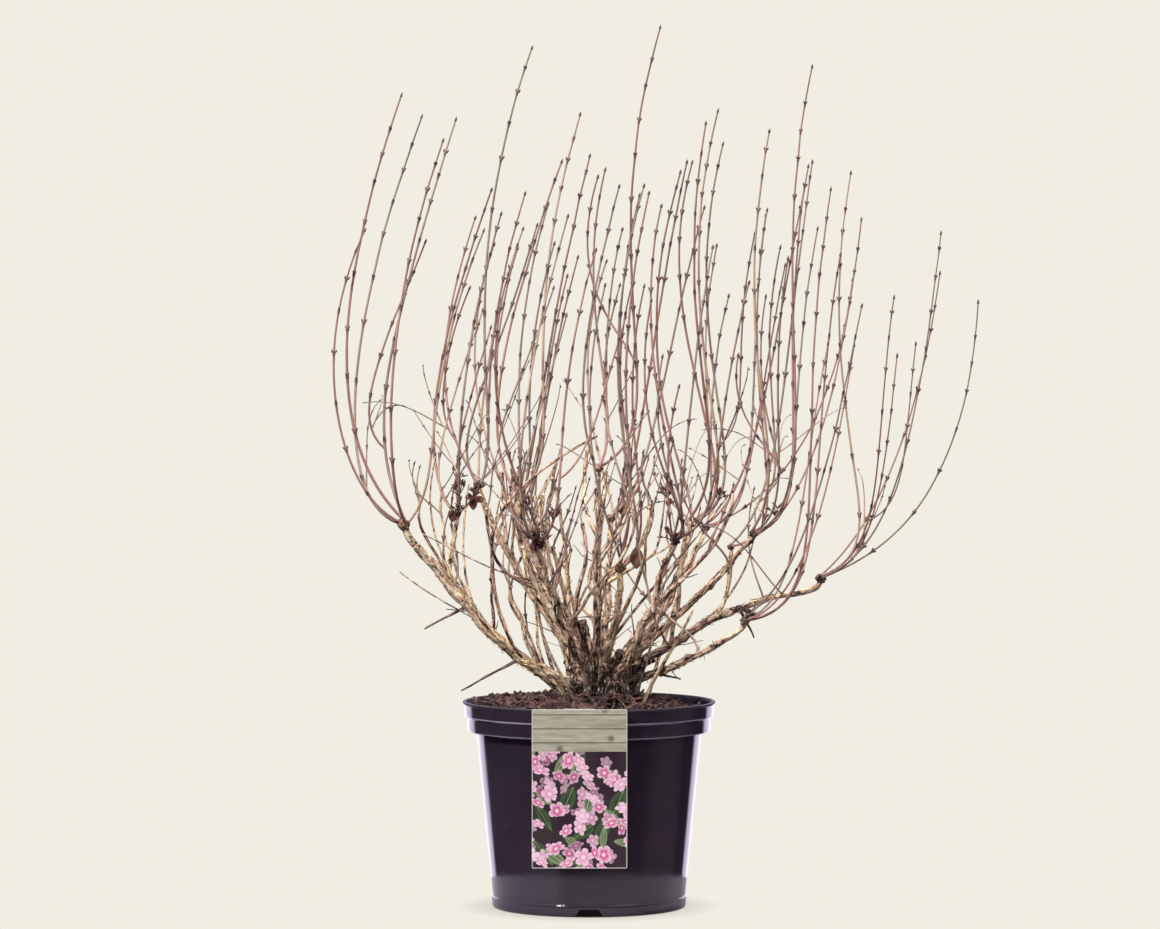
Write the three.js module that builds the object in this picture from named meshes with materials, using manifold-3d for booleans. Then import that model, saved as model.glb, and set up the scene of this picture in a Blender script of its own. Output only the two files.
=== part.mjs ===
// A bare winter weigela in a round nursery pot: pot, compost, hanging label, root stool,
// old boughs, and one mass of young twigs on each bough. Millimetres, +Z up. The origin is the
// centre of the pot's flat underside, and the label hangs on the -Y side.

import * as THREE from 'three';
import Module from 'manifold-3d';
import { mergeVertices } from 'three/addons/utils/BufferGeometryUtils.js';

const wasm = await Module();
wasm.setup();

// ---------------------------------------------------------------- driving dimensions

const GAP = 0.3; // clearance between pieces that touch
const SEED = 7129;

const POT = {
  height: 228,
  lipRadius: 140,
  lipDepth: 3,
  upperRadius: 138.5, // upper band of the stepped collar
  upperEdge: 211, // height where the upper band steps in
  lowerRadius: 135, // lower band of the collar
  lowerEdge: 194, // height where the collar steps in to the body
  neckRadius: 124.5,
  footRadius: 108,
  footStep: 1.2, // how far the foot ring stands out of the body
  footHeight: 12,
  wall: 2.2,
  floor: 9, // height of the underside between pad and foot ring
  padRadius: 30, // flat pad in the middle of the underside
  ringWidth: 5, // flat foot ring that the pot stands on
  ringSlope: 3, // how far the hollow underside's edges lean, and the ring's rounded corner
  step: 1, // height of the sloping steps of the collar
  inset: 0.8, // how far a step leans inwards
  facets: 40,
};
const NOTCH = { count: 4, width: 32, top: 21, height: 8.5 };

const SOIL = {
  level: 220, // compost against the wall, on average
  tilt: 0.04, // it lies higher at -X than at +X
  mound: 9, // how far it is heaped up round the stool
  moundRadius: 75,
  lump: 2.2, // height of the lumps
  seatRadius: 47, // flat place under the stool
  seatBlend: 12, // width of the slope from the flat place to the heaped compost
  rings: 7,
};
const SEAT = 232; // height of the flat cut under the stool

const LABEL = {
  width: 103,
  height: 172,
  thick: 1,
  offset: -10.5, // middle of the card, along X
  hookWidth: 34,
  hookDepth: 5,
};

const STOOL = {
  x: 12,
  y: 0,
  radius: 33,
  middle: 12, // height of its middle above the seat
  squash: 0.83, // its height, as a share of its width
  lumps: 5, // knobs round it, at ring from its middle
  ring: 24,
  lumpRadius: [13, 18],
  lumpHeight: [4, 24],
  lumpTurn: 25, // how irregularly the knobs are set, in degrees
  stumpRoot: 6, // height above the seat where the stumps start
};
// Sawn-off stumps on the stool: heading in degrees, lean from upright, length, diameter.
const STUMPS = [
  { heading: 200, lean: 16, length: 82, across: 13 },
  { heading: 310, lean: 38, length: 58, across: 12 },
  { heading: 75, lean: 30, length: 62, across: 14 },
  { heading: 150, lean: 52, length: 54, across: 11 },
];

// Old boughs. Each is rooted in the stool at the heading from, leaves it at an elevation of
// leave degrees, comes to its tip at arrive degrees, and tapers from thick to thin (diameters).
const BOUGHS = [
  { name: 'bough_left_low', tip: [-191, -45, 403], from: 188, leave: 14, arrive: 48, thick: 15, thin: 11 },
  { name: 'bough_left_mid', tip: [-116, 62, 440], from: 158, leave: 52, arrive: 64, thick: 11, thin: 9 },
  { name: 'bough_left_inner', tip: [-74, -52, 436], from: 222, leave: 62, arrive: 78, thick: 10, thin: 8 },
  { name: 'bough_front_left', tip: [-50, -128, 385], from: 250, leave: 32, arrive: 56, thick: 11, thin: 8 },
  { name: 'bough_back_left', tip: [-74, 132, 392], from: 126, leave: 34, arrive: 56, thick: 11, thin: 8 },
  { name: 'bough_centre', tip: [10, 14, 462], from: 110, leave: 80, arrive: 84, thick: 11, thin: 8 },
  { name: 'bough_fork', tip: [34, -50, 352], from: 285, leave: 72, arrive: 80, thick: 12, thin: 9 },
  { name: 'bough_front_right', tip: [84, -130, 390], from: 306, leave: 30, arrive: 58, thick: 11, thin: 8 },
  { name: 'bough_back_mid', tip: [24, 144, 400], from: 84, leave: 36, arrive: 60, thick: 11, thin: 8 },
  { name: 'bough_right_mid', tip: [164, -60, 396], from: 352, leave: 48, arrive: 52, thick: 10, thin: 7.5 },
  { name: 'bough_right_inner', tip: [110, 66, 398], from: 30, leave: 58, arrive: 78, thick: 9, thin: 7.5 },
  { name: 'bough_right_low', tip: [206, 8, 343], from: 12, leave: 34, arrive: 14, thick: 12, thin: 8.5 },
  { name: 'bough_right_under', tip: [146, -84, 300], from: 330, leave: 16, arrive: 30, thick: 10, thin: 8 },
  { name: 'bough_back_right', tip: [122, 124, 392], from: 58, leave: 32, arrive: 54, thick: 11, thin: 8 },
];
// Short dead twigs left on the boughs: where they start, as a share of the bough's length, and
// where they end.
const SPURS = [
  { bough: 'bough_left_low', at: 0.3, to: [-140, -50, 243] },
  { bough: 'bough_left_low', at: 0.64, to: [-181, -42, 310] },
  { bough: 'bough_right_low', at: 0.8, to: [184, 30, 296] },
  { bough: 'bough_right_under', at: 0.35, to: [101, -28, 254] },
];
const BOUGH = {
  start: 27, // a level bough's root, from the middle of the stool
  inward: 0.75, // how much nearer to the middle an upright bough is rooted
  rootHeight: 10, // a level bough's root, above the seat
  rootRise: 12, // how much higher an upright bough is rooted
  leaving: 0.36, // reach of the start's direction, as a share of the span
  arriving: 0.34, // reach of the tip's direction
  uneven: 0.07, // how much the radius differs from an even taper
  facets: 6,
  rings: 6,
};
const SPUR = { radius: 1.3, swell: 1.5, end: 0.6 };

// Twig masses. Each grows from one stem on its bough, at a share of the bough's length; the stem
// ends in the swollen head that the twigs spring from. Tips are the ends of the mass's longest
// twigs, fill is how many shorter ones stand among them, room is the half-width of its space, and
// lift says how steeply the twigs start.
const MASSES = [
  {
    name: 'twigs_left_outer', bough: 'bough_left_low', at: 1, head: [-203, -49, 425],
    lift: 0.2, fill: 2, room: 95,
    tips: [[-204, -62, 898], [-184, 4, 878], [-157, -112, 846], [-145, -50, 872], [-243, -76, 750]],
  },
  {
    name: 'twigs_left_tall', bough: 'bough_left_low', at: 0.72, head: [-146, -14, 436],
    lift: 0.35, fill: 2, room: 80,
    tips: [[-62, -8, 953], [-108, 56, 799], [-95, -76, 768]],
  },
  {
    name: 'twigs_left_mid', bough: 'bough_left_mid', at: 1, head: [-124, 70, 466],
    lift: 0.35, fill: 2, room: 80,
    tips: [[-71, 92, 796], [-57, 40, 759], [-128, 136, 770]],
  },
  {
    name: 'twigs_left_inner', bough: 'bough_left_inner', at: 1, head: [-76, -56, 460],
    lift: 0.35, fill: 2, room: 80,
    tips: [[-37, -100, 735], [-29, -24, 827], [-9, -60, 877]],
  },
  {
    name: 'twigs_front_left', bough: 'bough_front_left', at: 1, head: [-56, -144, 408],
    lift: 0.15, fill: 2, room: 90,
    tips: [[-85, -228, 700], [-22, -190, 762], [8, -140, 727]],
  },
  {
    name: 'twigs_back_left', bough: 'bough_back_left', at: 1, head: [-82, 151, 414],
    lift: 0.15, fill: 2, room: 95,
    tips: [[-108, 216, 742], [2, 146, 841], [-46, 259, 790]],
  },
  {
    name: 'twigs_centre', bough: 'bough_centre', at: 1, head: [10, 16, 486],
    lift: 0.35, fill: 2, room: 70,
    tips: [[80, 24, 978], [34, -20, 800], [19, 64, 822]],
  },
  {
    name: 'twigs_fork', bough: 'bough_fork', at: 1, head: [34, -54, 378],
    lift: 0.35, fill: 2, room: 80,
    tips: [[60, -118, 797], [66, -64, 791], [18, -96, 690]],
  },
  {
    name: 'twigs_front_right', bough: 'bough_front_right', at: 1, head: [92, -154, 412],
    lift: 0.15, fill: 2, room: 100,
    tips: [[66, -226, 672], [132, -186, 729], [78, -152, 774], [168, -266, 690]],
  },
  {
    name: 'twigs_back_mid', bough: 'bough_back_mid', at: 1, head: [25, 166, 424],
    lift: 0.15, fill: 2, room: 95,
    tips: [[60, 247, 800], [113, 170, 835], [22, 295, 724]],
  },
  {
    name: 'twigs_right_mid', bough: 'bough_right_mid', at: 1, head: [180, -66, 416],
    lift: 0.35, fill: 2, room: 95,
    tips: [[245, -46, 930], [196, -96, 857], [243, -4, 823], [214, -148, 718]],
  },
  {
    name: 'twigs_right_inner', bough: 'bough_right_inner', at: 1, head: [113, 70, 422],
    lift: 0.35, fill: 2, room: 90,
    tips: [[145, 52, 887], [130, 10, 871], [152, 96, 852], [105, 134, 822]],
  },
  {
    name: 'twigs_right_arch', bough: 'bough_right_low', at: 0.6, head: [158, 18, 398],
    lift: 0.2, fill: 2, room: 90,
    tips: [[307, 84, 767], [250, 48, 830], [198, 8, 775]],
  },
  {
    name: 'twigs_right_outer', bough: 'bough_right_low', at: 1, head: [258, 10, 363],
    lift: 0.08, fill: 2, room: 130,
    tips: [[431, 0, 673], [393, 52, 706], [386, -48, 748], [332, -88, 677], [292, 30, 817]],
  },
  {
    name: 'twigs_right_under', bough: 'bough_right_under', at: 1, head: [170, -92, 322],
    lift: 0.15, fill: 2, room: 110,
    tips: [[261, -125, 793], [292, -170, 667], [275, -66, 724]],
  },
  {
    name: 'twigs_back_right', bough: 'bough_back_right', at: 1, head: [133, 144, 414],
    lift: 0.15, fill: 2, room: 110,
    tips: [[204, 196, 775], [246, 140, 806], [150, 271, 742], [300, 130, 700]],
  },
];

const TWIG = {
  root: 2.5, // radius where a twig leaves its head, for the longest
  shortRoot: 1.2, // and for the shortest, growing by a millimetre for each 380 of length
  thicken: 380,
  end: 1.05, // radius at its tip
  facets: 3,
  bare: 0.26, // share of a twig at its root that has no buds
  nodeStep: 100, // distance between the swollen buds
  nodeSwell: 1.9, // a bud's radius, as a share of the twig's
  nodeHalf: 3.6, // half the length of a bud
  samples: 14, // straight pieces that a twig is tested in
  clear: 0.8, // least clearance between twigs of two masses
  lean: 0.3, // lean towards +X at a tip in the middle, as a slope
  gather: 0.0005, // how much more a tip leans inwards for each millimetre from the middle
  rooted: 0.9, // distance of a root from the head's middle, as a share of the stem's radius
  fan: 0.45, // how much a twig starts to the side on which it is rooted
  away: 0.4, // how much a twig starts away from the plant's middle, against towards its tip
  fullPull: 90, // level distance to go that makes a twig start quite level
  bow: 0.22, // reach of the outward start, as a share of the twig's span
  rise: 0.58, // reach of the upright end, as a share of the twig's span
  reachSpread: [0.85, 1.15], // how much those two reaches differ from twig to twig
  swaySpread: [-0.06, 0.06], // how much the lean differs
  liftSpread: [0, 0.4], // and how steeply twigs start
  curved: 1.06, // a twig's length, as a share of its span
  tries: 60,
};
const FILLER = {
  fork: [0.12, 0.42], // where a forked twig leaves its parent, as a share of the parent
  reach: [0.6, 0.9], // its tip, as a share of the way from the head to the parent's tip
  aside: [18, 58], // distance of its tip from the parent's tip, to the side
  forked: 0.4, // share of the shorter twigs that fork from a longer one
};
const STEM = {
  side: 0.62, // radius of a stem on a bough's side, as a share of the bough's
  swell: 1.5, // radius of its head, as a share of the stem's
  handle: 0.3, // how far the stem keeps the directions of its ends, as a share of its span
  neck: 34, // half-width of the mass's space at the head
  facets: 5,
};
const GOLDEN_ANGLE = 137.5; // degrees from one twig's root to the next
const ROOT_TURN = [0, 40]; // how irregularly the roots are set round a head
const ROOT_LIFT = [10, 40]; // elevation of the roots on it

// ---------------------------------------------------------------- materials

function finish(color, roughness) {
  return new THREE.MeshStandardMaterial({ color, roughness, metalness: 0 });
}

const MATERIALS = {
  plastic: finish(0x1d1a22, 0.3),
  compost: finish(0x3a2723, 0.95),
  card: finish(0xa9a48f, 0.4),
  stump: finish(0x3d2c27, 0.9),
  bark: finish(0xb89c72, 0.85),
  twig: finish(0x8a6a5e, 0.7),
};

// ---------------------------------------------------------------- helpers

/** Repeatable random numbers from 0 to 1. */
function seeded(seed) {
  let state = seed >>> 0;
  return () => {
    state = (state + 0x6d2b79f5) >>> 0;
    let mixed = Math.imul(state ^ (state >>> 15), state | 1);
    mixed ^= mixed + Math.imul(mixed ^ (mixed >>> 7), mixed | 61);
    return ((mixed ^ (mixed >>> 14)) >>> 0) / 4294967296;
  };
}

/** A random number between two limits. */
function between(random, [low, high]) {
  return low + (high - low) * random();
}

function vector([x, y, z]) {
  return new THREE.Vector3(x, y, z);
}

/** The direction with this heading (from +X towards +Y) and elevation, in degrees. */
function direction(heading, elevation) {
  const turn = THREE.MathUtils.degToRad(heading);
  const lift = THREE.MathUtils.degToRad(elevation);
  const level = Math.cos(lift);
  return new THREE.Vector3(level * Math.cos(turn), level * Math.sin(turn), Math.sin(lift));
}

function headingTo(from, to) {
  return THREE.MathUtils.radToDeg(Math.atan2(to.y - from.y, to.x - from.x));
}

/** A closed three.js geometry as a solid, facing out. */
function solid(geometry) {
  const bare = geometry.clone();
  bare.deleteAttribute('normal');
  bare.deleteAttribute('uv');
  const merged = mergeVertices(bare, 1e-4);
  const vertProperties = new Float32Array(merged.attributes.position.array);
  const triVerts = new Uint32Array(merged.index.array);
  return new wasm.Manifold(new wasm.Mesh({ numProp: 3, vertProperties, triVerts }));
}

/** A solid as a named mesh. */
function piece(name, body, material) {
  const { vertProperties, triVerts } = body.getMesh();
  const geometry = new THREE.BufferGeometry();
  geometry.setAttribute('position', new THREE.BufferAttribute(vertProperties, 3));
  geometry.setIndex(new THREE.BufferAttribute(triVerts, 1));
  geometry.computeVertexNormals();
  const mesh = new THREE.Mesh(geometry, material);
  mesh.name = name;
  return mesh;
}

/** The main shell of a solid: loose scraps are dropped and sealed hollows filled. */
function largest(body) {
  const parts = body.decompose();
  const main = parts.reduce((best, part) => (part.volume() > best.volume() ? part : best));
  if (main.volume() < 0.98 * body.volume()) throw new Error('a piece of the solid is loose');
  return main;
}

/** A closed profile of [radius, height] points, turned about the Z axis. */
function turned(profile, facets) {
  const outline = profile.map(([radius, height]) => new THREE.Vector2(radius, height));
  const geometry = new THREE.LatheGeometry(outline, facets);
  geometry.rotateX(Math.PI / 2);
  return solid(geometry);
}

/** A closed body over a stack of rings, each with the same number of points. */
function lofted(rings) {
  const sides = rings[0].length;
  const corners = rings.flat();
  const faces = [];
  for (let ring = 0; ring + 1 < rings.length; ring += 1) {
    for (let side = 0; side < sides; side += 1) {
      const a = ring * sides + side;
      const b = ring * sides + ((side + 1) % sides);
      faces.push(a, b, a + sides, b, b + sides, a + sides);
    }
  }
  const last = (rings.length - 1) * sides;
  for (let side = 1; side + 1 < sides; side += 1) {
    faces.push(0, side + 1, side, last, last + side, last + side + 1);
  }
  const geometry = new THREE.BufferGeometry().setFromPoints(corners);
  geometry.setIndex(faces);
  return solid(geometry);
}

/** A limb along a curve. Each station is [share of the length, radius]. */
function limb(curve, stations, facets) {
  const side = new THREE.Vector3(0, 0, 1);
  if (Math.abs(curve.getTangentAt(0).z) > 0.9) side.set(0, 1, 0);
  const rings = stations.map(([share, radius]) => {
    const along = curve.getTangentAt(share);
    const centre = curve.getPointAt(share);
    side.addScaledVector(along, -side.dot(along)).normalize();
    const across = along.clone().cross(side);
    return Array.from({ length: facets }, (_, corner) => {
      const angle = (2 * Math.PI * corner) / facets;
      return centre
        .clone()
        .addScaledVector(side, radius * Math.cos(angle))
        .addScaledVector(across, radius * Math.sin(angle));
    });
  });
  return lofted(rings);
}

/** The smallest distance between two straight pieces, a to b and c to d. */
function segmentDistance(a, b, c, d) {
  const u = b.clone().sub(a);
  const v = d.clone().sub(c);
  const w = a.clone().sub(c);
  const uu = u.dot(u);
  const vv = v.dot(v);
  const uv = u.dot(v);
  const uw = u.dot(w);
  const vw = v.dot(w);
  const spread = uu * vv - uv * uv;
  let s = spread > 1e-9 ? THREE.MathUtils.clamp((uv * vw - vv * uw) / spread, 0, 1) : 0;
  const t = THREE.MathUtils.clamp((uv * s + vw) / vv, 0, 1);
  s = THREE.MathUtils.clamp((uv * t - uw) / uu, 0, 1);
  return w.addScaledVector(u, s).addScaledVector(v, -t).length();
}

/** A limb as straight pieces with their thickest radius, for the clearance test. */
function traced(curve, samples, radiusAt, owner) {
  return Array.from({ length: samples }, (_, index) => ({
    from: curve.getPoint(index / samples),
    to: curve.getPoint((index + 1) / samples),
    radius: radiusAt(index / samples),
    owner,
  }));
}

function isClear(pieces, others, clearance) {
  return pieces.every((one) =>
    others.every((other) => {
      const apart = one.radius + other.radius + clearance;
      return segmentDistance(one.from, one.to, other.from, other.to) > apart;
    })
  );
}

// ---------------------------------------------------------------- pot, compost and label

/** Radius of the tapered body's outer face at a height. */
function bodyRadius(height) {
  return THREE.MathUtils.mapLinear(
    height, POT.footHeight, POT.lowerEdge, POT.footRadius - POT.footStep, POT.neckRadius
  );
}

/** Inside of the pot from the middle of its floor up to the upper band. */
function insideProfile() {
  const { wall, upperEdge, lowerEdge, floor, step, inset } = POT;
  return [
    [0, floor + wall],
    [bodyRadius(floor + wall) - wall, floor + wall],
    [POT.neckRadius - wall, lowerEdge + wall - step],
    [POT.lowerRadius - wall - inset, lowerEdge + wall],
    [POT.lowerRadius - wall, upperEdge + wall - step],
    [POT.upperRadius - wall - inset, upperEdge + wall],
  ];
}

function potShell() {
  const { height, wall, upperEdge, lowerEdge, floor, footHeight, footRadius, step, inset } = POT;
  const slope = POT.ringSlope;
  const outer = [
    [0, 0],
    [POT.padRadius, 0],
    [POT.padRadius + slope, floor],
    [footRadius - POT.ringWidth - slope, floor],
    [footRadius - POT.ringWidth, 0],
    [footRadius - slope / 2, 0],
    [footRadius, slope],
    [footRadius, footHeight],
    [bodyRadius(footHeight), footHeight + step],
    [POT.neckRadius, lowerEdge],
    [POT.lowerRadius - inset, lowerEdge + step],
    [POT.lowerRadius, upperEdge - step],
    [POT.upperRadius - inset, upperEdge],
    [POT.upperRadius, height - POT.lipDepth],
    [POT.lipRadius, height - POT.lipDepth + inset],
    [POT.lipRadius, height],
  ];
  const mouth = [POT.upperRadius - wall, height];
  return turned([...outer, mouth, ...insideProfile().reverse()], POT.facets);
}

/** The trapezoid drain notches through the foot ring. */
function drainNotches() {
  const half = NOTCH.width / 2;
  const topHalf = NOTCH.top / 2;
  const outline = new THREE.Shape();
  outline.moveTo(-half, -1);
  outline.lineTo(half, -1);
  outline.lineTo(topHalf, NOTCH.height);
  outline.lineTo(-topHalf, NOTCH.height);
  outline.closePath();
  const depth = 3 * POT.ringWidth;
  const cutter = new THREE.ExtrudeGeometry(outline, { depth, bevelEnabled: false });
  cutter.rotateX(Math.PI / 2);
  cutter.translate(0, -(POT.footRadius - 2 * POT.ringWidth), 0);
  let notches = solid(cutter);
  for (let index = 1; index < NOTCH.count; index += 1) {
    const copy = cutter.clone().rotateZ((2 * Math.PI * index) / NOTCH.count);
    notches = notches.add(solid(copy));
  }
  return notches;
}

function pot() {
  return piece('pot', potShell().subtract(drainNotches()), MATERIALS.plastic);
}

/** Height of the compost's lumpy top at a place. */
function soilTop(x, y) {
  const fromStool = Math.hypot(x - STOOL.x, y - STOOL.y);
  const mound = SOIL.mound * Math.exp(-((fromStool / SOIL.moundRadius) ** 2));
  const lumps =
    Math.sin(x * 0.11 + 1.3) * Math.sin(y * 0.13 + 0.4) +
    Math.sin(x * 0.23 - y * 0.19 + 2.1) * 0.7;
  const fade = 1 - (Math.hypot(x, y) / POT.upperRadius) ** 4;
  const open = SOIL.level - SOIL.tilt * x + mound + SOIL.lump * lumps * fade;
  const blend = THREE.MathUtils.smoothstep(fromStool, SOIL.seatRadius, SOIL.seatRadius + SOIL.seatBlend);
  return THREE.MathUtils.lerp(SEAT, open, blend);
}

function soil() {
  const walls = insideProfile().slice(1).map(([radius, height]) => [radius - GAP, height + GAP]);
  const [edge] = walls[walls.length - 1];
  const circle = (radius, heightAt) =>
    Array.from({ length: POT.facets }, (_, index) => {
      const angle = (2 * Math.PI * index) / POT.facets;
      const x = radius * Math.cos(angle);
      const y = radius * Math.sin(angle);
      return new THREE.Vector3(x, y, heightAt(x, y));
    });
  const rings = walls.map(([radius, height]) => circle(radius, () => height));
  for (let ring = SOIL.rings; ring >= 1; ring -= 1) {
    rings.push(circle((edge * ring) / SOIL.rings, soilTop));
  }
  return piece('soil', lofted(rings), MATERIALS.compost);
}

/** The flat card that hangs from the rim, with the hook that grips over the lip. */
function label() {
  const face = -(POT.lipRadius + GAP + LABEL.thick);
  const card = new THREE.BoxGeometry(LABEL.width, LABEL.thick, LABEL.height);
  const top = POT.height + GAP + LABEL.thick;
  card.translate(LABEL.offset, face + LABEL.thick / 2, top - LABEL.height / 2);
  const hookEdge = Math.abs(LABEL.offset) + LABEL.hookWidth / 2;
  const wallRadius = (POT.upperRadius - POT.wall - POT.inset) * Math.cos(Math.PI / POT.facets);
  const inside = -(Math.sqrt(wallRadius ** 2 - hookEdge ** 2) - GAP - LABEL.thick);
  const bridge = new THREE.BoxGeometry(LABEL.hookWidth, inside - face, LABEL.thick);
  bridge.translate(LABEL.offset, (inside + face) / 2, top - LABEL.thick / 2);
  const tongue = new THREE.BoxGeometry(LABEL.hookWidth, LABEL.thick, LABEL.hookDepth);
  tongue.translate(LABEL.offset, inside - LABEL.thick / 2, top - LABEL.hookDepth / 2);
  const body = solid(card).add(solid(bridge)).add(solid(tongue));
  return piece('label', body, MATERIALS.card);
}

// ---------------------------------------------------------------- stool and boughs

/** The knobby root stool and its sawn-off stumps, cut flat below, grown by a clearance. */
function stoolSolid(grow) {
  const random = seeded(SEED);
  const lump = (x, y, z, radius, squash) => {
    const ball = new THREE.IcosahedronGeometry(1, 1);
    ball.rotateZ(x + y);
    ball.scale(radius + grow, radius + grow, radius * squash + grow);
    ball.translate(x, y, z);
    return solid(ball);
  };
  let body = lump(STOOL.x, STOOL.y, SEAT + STOOL.middle, STOOL.radius, STOOL.squash);
  for (let index = 0; index < STOOL.lumps; index += 1) {
    const out = direction((360 * index) / STOOL.lumps + STOOL.lumpTurn * random(), 0);
    const radius = between(random, STOOL.lumpRadius);
    const height = SEAT + between(random, STOOL.lumpHeight);
    const x = STOOL.x + STOOL.ring * out.x;
    const y = STOOL.y + STOOL.ring * out.y;
    body = body.add(lump(x, y, height, radius, 0.95));
  }
  for (const stump of STUMPS) {
    const along = direction(stump.heading, 90 - stump.lean);
    const from = new THREE.Vector3(STOOL.x, STOOL.y, SEAT + STOOL.stumpRoot);
    const to = from.clone().addScaledVector(along, stump.length + grow);
    const radius = stump.across / 2 + grow;
    const line = new THREE.LineCurve3(from, to);
    body = body.add(limb(line, [[0, radius * 1.25], [0.5, radius], [1, radius * 0.95]], BOUGH.facets));
  }
  const size = 2 * POT.height; // more than the stool and its stumps
  const above = new THREE.BoxGeometry(size, size, size);
  above.translate(STOOL.x, STOOL.y, SEAT + GAP + size / 2 - grow);
  return body.intersect(solid(above));
}

/** A bough's centre line, from inside the stool to its tip. */
function boughCurve(row) {
  const tip = vector(row.tip);
  const heading = headingTo(STOOL, tip);
  const steep = Math.sin(THREE.MathUtils.degToRad(row.leave));
  const root = new THREE.Vector3(STOOL.x, STOOL.y, SEAT + BOUGH.rootHeight + BOUGH.rootRise * steep);
  root.addScaledVector(direction(row.from, 0), BOUGH.start * (1 - BOUGH.inward * steep));
  const span = root.distanceTo(tip);
  const leaving = root.clone().addScaledVector(direction(heading, row.leave), BOUGH.leaving * span);
  const arriving = tip.clone().addScaledVector(direction(heading, row.arrive), -BOUGH.arriving * span);
  return new THREE.CubicBezierCurve3(root, leaving, arriving, tip);
}

function boughRadius(row, share) {
  return THREE.MathUtils.lerp(row.thick, row.thin, share) / 2;
}

function spurLines(row, curve) {
  const own = SPURS.filter((spur) => spur.bough === row.name);
  return own.map((spur) => new THREE.LineCurve3(curve.getPoint(spur.at), vector(spur.to)));
}

/** A bough grown by a clearance, with its dead spurs. */
function boughSolid(row, curve, grow) {
  const random = seeded(SEED + row.name.length * 31 + row.tip[0]);
  const stations = Array.from({ length: BOUGH.rings + 1 }, (_, index) => {
    const share = index / BOUGH.rings;
    const knobby = between(random, [1 - BOUGH.uneven, 1 + BOUGH.uneven]);
    return [share, boughRadius(row, share) * knobby + grow];
  });
  let body = limb(curve, stations, BOUGH.facets);
  for (const line of spurLines(row, curve)) {
    const radius = SPUR.radius + grow;
    const taper = [[0, radius * SPUR.swell], [0.4, radius], [1, radius * SPUR.end]];
    body = body.add(limb(line, taper, TWIG.facets));
  }
  return body;
}

// ---------------------------------------------------------------- twig masses

/** The stem that carries a mass, from just off its bough to the middle of its head. */
function stemCurve(row, bough) {
  const head = vector(row.head);
  const from = bough.getPoint(row.at);
  const along = bough.getTangent(row.at);
  if (row.at === 1) from.addScaledVector(along, GAP);
  const span = from.distanceTo(head);
  const leaving = from.clone().addScaledVector(along, STEM.handle * span);
  const arriving = head.clone().addScaledVector(direction(0, 90), -STEM.handle * span);
  return new THREE.CubicBezierCurve3(from, leaving, arriving, head);
}

/** A twig's curve: it starts outwards from its root, and ends upright with a little lean. */
function twigCurve(root, tip, outward, lift, random) {
  const span = root.distanceTo(tip);
  const start = outward.clone().setZ(lift).normalize();
  const bow = TWIG.bow * span * between(random, TWIG.reachSpread);
  const lean = TWIG.lean - TWIG.gather * tip.x + between(random, TWIG.swaySpread);
  const sway = -TWIG.gather * tip.y + between(random, TWIG.swaySpread);
  const rise = TWIG.rise * span * between(random, TWIG.reachSpread);
  const end = new THREE.Vector3(lean, sway, 1).normalize();
  const leaving = root.clone().addScaledVector(start, bow);
  const arriving = tip.clone().addScaledVector(end, -rise);
  return new THREE.CubicBezierCurve3(root, leaving, arriving, tip);
}

function twigRadius(twig, share) {
  const root = Math.min(TWIG.root, TWIG.shortRoot + twig.length / TWIG.thicken);
  return THREE.MathUtils.lerp(root, TWIG.end, share);
}

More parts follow.
